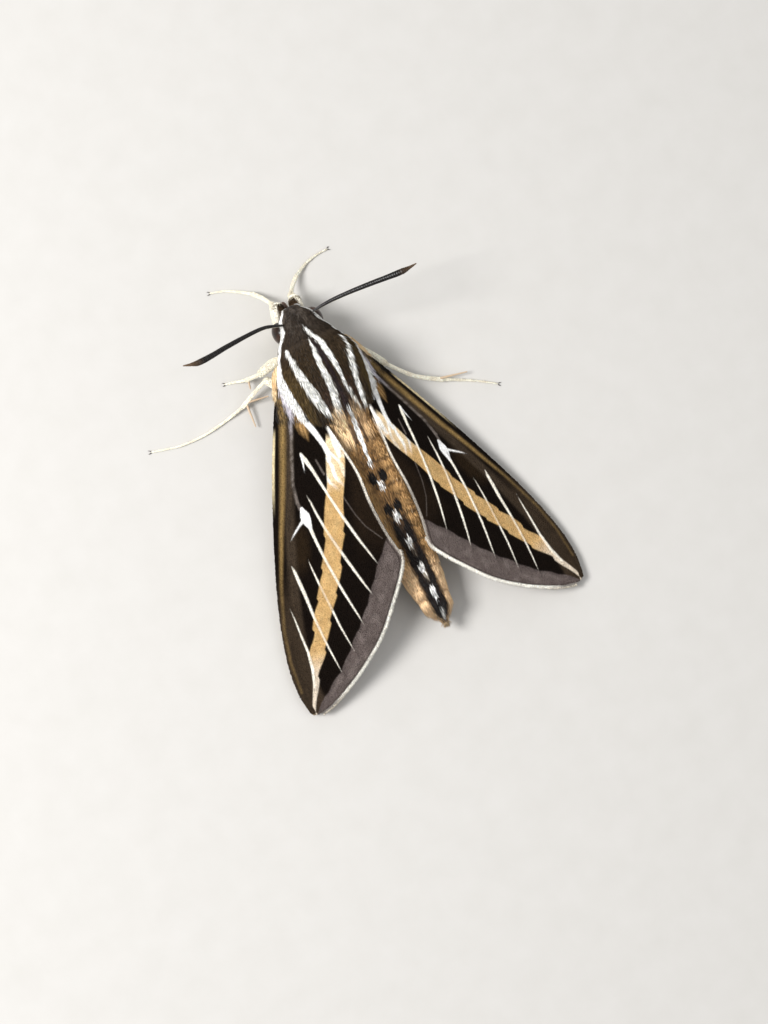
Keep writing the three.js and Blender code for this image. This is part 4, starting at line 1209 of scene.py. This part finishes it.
# Each part starts at the last point of the one before. Points without a height lie on the floor.
LEGS = {
    "foreleg_left": {
        "femur": [[-1.7, 6.6, 2.3], [-1.6, 3.2, 1.75], [-1.0, -0.4, 2.2]],
        "tibia": [[-1.5, -1.6, 1.4], [-2.2, -2.65, 0.65]],
        "tarsus": [[-3.5, -3.6], [-5.0, -4.4], [-6.5, -4.85]],
        "spurs": [],
    },
    "foreleg_right": {
        "femur": [[1.7, 6.6, 2.3], [1.7, 3.2, 1.75], [1.4, -0.6, 2.2]],
        "tibia": [[2.3, -1.6, 1.3], [3.3, -2.4, 0.7]],
        "tarsus": [[4.9, -3.2], [6.4, -3.6], [8.0, -3.7]],
        "spurs": [],
    },
    "midleg_left": {
        "femur": [[-2.0, 6.4, 2.6], [-3.9, 5.65, 3.2], [-6.1, 6.1, 3.8]],
        "tibia": [[-6.9, 6.0, 2.4], [-7.4, 5.85, 1.0]],
        "tarsus": [[-8.0, 5.65, 0.45], [-8.8, 5.4], [-9.6, 5.2]],
        "spurs": [[[-7.2, 5.9, 1.4], [-7.35, 7.0, 0.75]]],
    },
    "midleg_right": {
        "femur": [[2.2, 6.4, 2.3], [5.1, 8.1, 2.7], [7.4, 11.0, 2.9]],
        "tibia": [[10.2, 13.8, 1.6], [13.2, 15.55, 0.6]],
        "tarsus": [[15.2, 16.5], [17.0, 17.5], [19.0, 18.8]],
        "spurs": [[[12.9, 15.3, 0.9], [16.2, 16.0, 0.8]]],
    },
    "hindleg_left": {
        "femur": [[-2.1, 11.4, 1.9], [-3.9, 9.0, 2.1], [-5.6, 6.9, 2.3]],
        "tibia": [[-7.3, 7.6, 1.5], [-9.0, 8.4, 0.75]],
        "tarsus": [[-11.1, 8.9], [-14.2, 9.35], [-17.4, 9.25], [-20.6, 8.45]],
        "spurs": [[[-8.55, 8.3, 0.95], [-8.7, 11.1, 0.6]], [[-8.4, 8.2, 1.1], [-5.9, 8.6, 1.2]]],
    },
    "hindleg_right": {
        "femur": [[2.1, 11.4, 2.0], [4.0, 12.4, 2.2], [5.7, 14.0, 2.6]],
        "tibia": [[6.9, 18.0, 1.7], [7.75, 21.3, 0.7]],
        "tarsus": [[8.4, 24.0], [9.2, 27.0], [10.3, 30.4]],
        "spurs": [[[7.65, 20.8, 1.0], [9.5, 22.1, 0.7]], [[6.9, 18.2, 1.7], [8.3, 19.5, 1.2]]],
    },
}
CLAW_LINE = [(0, 0.08), (0.22, 0.18), (0.34, 0.2)]      # ahead of the foot's end, and aside
CLAW_TIP_HEIGHT = 0.06


def leg_colour(share, turn):
    share, turn = np.broadcast_arrays(share, turn)
    rings = 0.2 * ramp(np.sin(share * 43) * np.cos(turn), 0.2, 0.9)
    return painted(plain("#fff7e2", share.shape), rings, "#c2ab8c")


def eased(values):
    """Values along a line, each drawn halfway to its neighbours' mean; the ends stay."""
    inner = (values[:-2] + 2 * values[1:-1] + values[2:]) / 4
    return np.concatenate([values[:1], inner, values[-1:]])


for name, leg in LEGS.items():
    parts, start = [], []
    for part in LEG_PARTS:
        points = start + leg[part]
        parts.append(smooth_line([at(*[*point, FOOT_HEIGHT][:3]) for point in points], 0.08))
        start = points[-1:]
    shares = [np.linspace(0, 1, len(part)) for part in parts]
    radii = [0.42 + 0.2 * np.sin(math.pi * shares[0]) ** 0.7, 0.25 + 0.05 * shares[1],
             (0.23 - 0.12 * shares[2]) * (0.86 + 0.14 * np.abs(np.sin(5 * math.pi * shares[2])))]
    line = np.concatenate([parts[0][:-1], parts[1][:-1], parts[2]])
    radius = np.concatenate([radii[0][:-1], radii[1][:-1], radii[2]])
    for _ in range(4):
        line, radius = eased(line), eased(radius)
    on_floor = line[:, 2] < FOOT_HEIGHT + 0.02
    line[:, 2] = np.where(on_floor, radius + 0.03, np.maximum(line[:, 2], radius + 0.03))
    for _ in range(6):
        line[:, 2] = eased(line[:, 2])
    radius = round_ends(line, radius - LIMB_COAT)
    share = np.linspace(0, 1, len(line))
    rings, turn = tube(line, radius)
    add_rings(f"{name}_skin", rings, leg_colour(share[:, None], turn[None]) * 0.85, limb_cuticle,
              [f"{name}_{part}" for part in LEG_PARTS])
    clothe(f"{name}_scales", line, radius, 0.11, (0.3, 0.11), 0.2, leg_colour,
           smooth_scales, ends=(0.05, 0.985))
    for number, ends in enumerate(leg["spurs"], 1):
        spur = smooth_line([at(*end) for end in ends], 0.06)
        share = np.linspace(0, 1, len(spur))
        rings, _ = tube(spur, round_ends(spur, 0.15 - 0.08 * share), 12)
        add_rings(f"{name}_spur_{number}", rings, plain("#c4ac90", rings.shape[:2]),
                  limb_cuticle)
    # Claws: two small dark hooks side by side on the last joint.
    tip, heading = line[-1], line[-1] - line[-6]
    heading = heading / np.linalg.norm(heading)
    aside = np.cross(heading, (0, 0, 1))
    for claw_name, hook in (("inner", -1), ("outer", 1)):
        path = [tip + ahead * heading + hook * out * aside for ahead, out in CLAW_LINE]
        path[-1][2] = CLAW_TIP_HEIGHT
        claw = smooth_line(path, 0.03)
        rings, _ = tube(claw, round_ends(claw, 0.06 - 0.04 * np.linspace(0, 1, len(claw))), 8)
        add_rings(f"{name}_claw_{claw_name}", rings, plain("#2b1c12", rings.shape[:2]),
                  dark_cuticle)
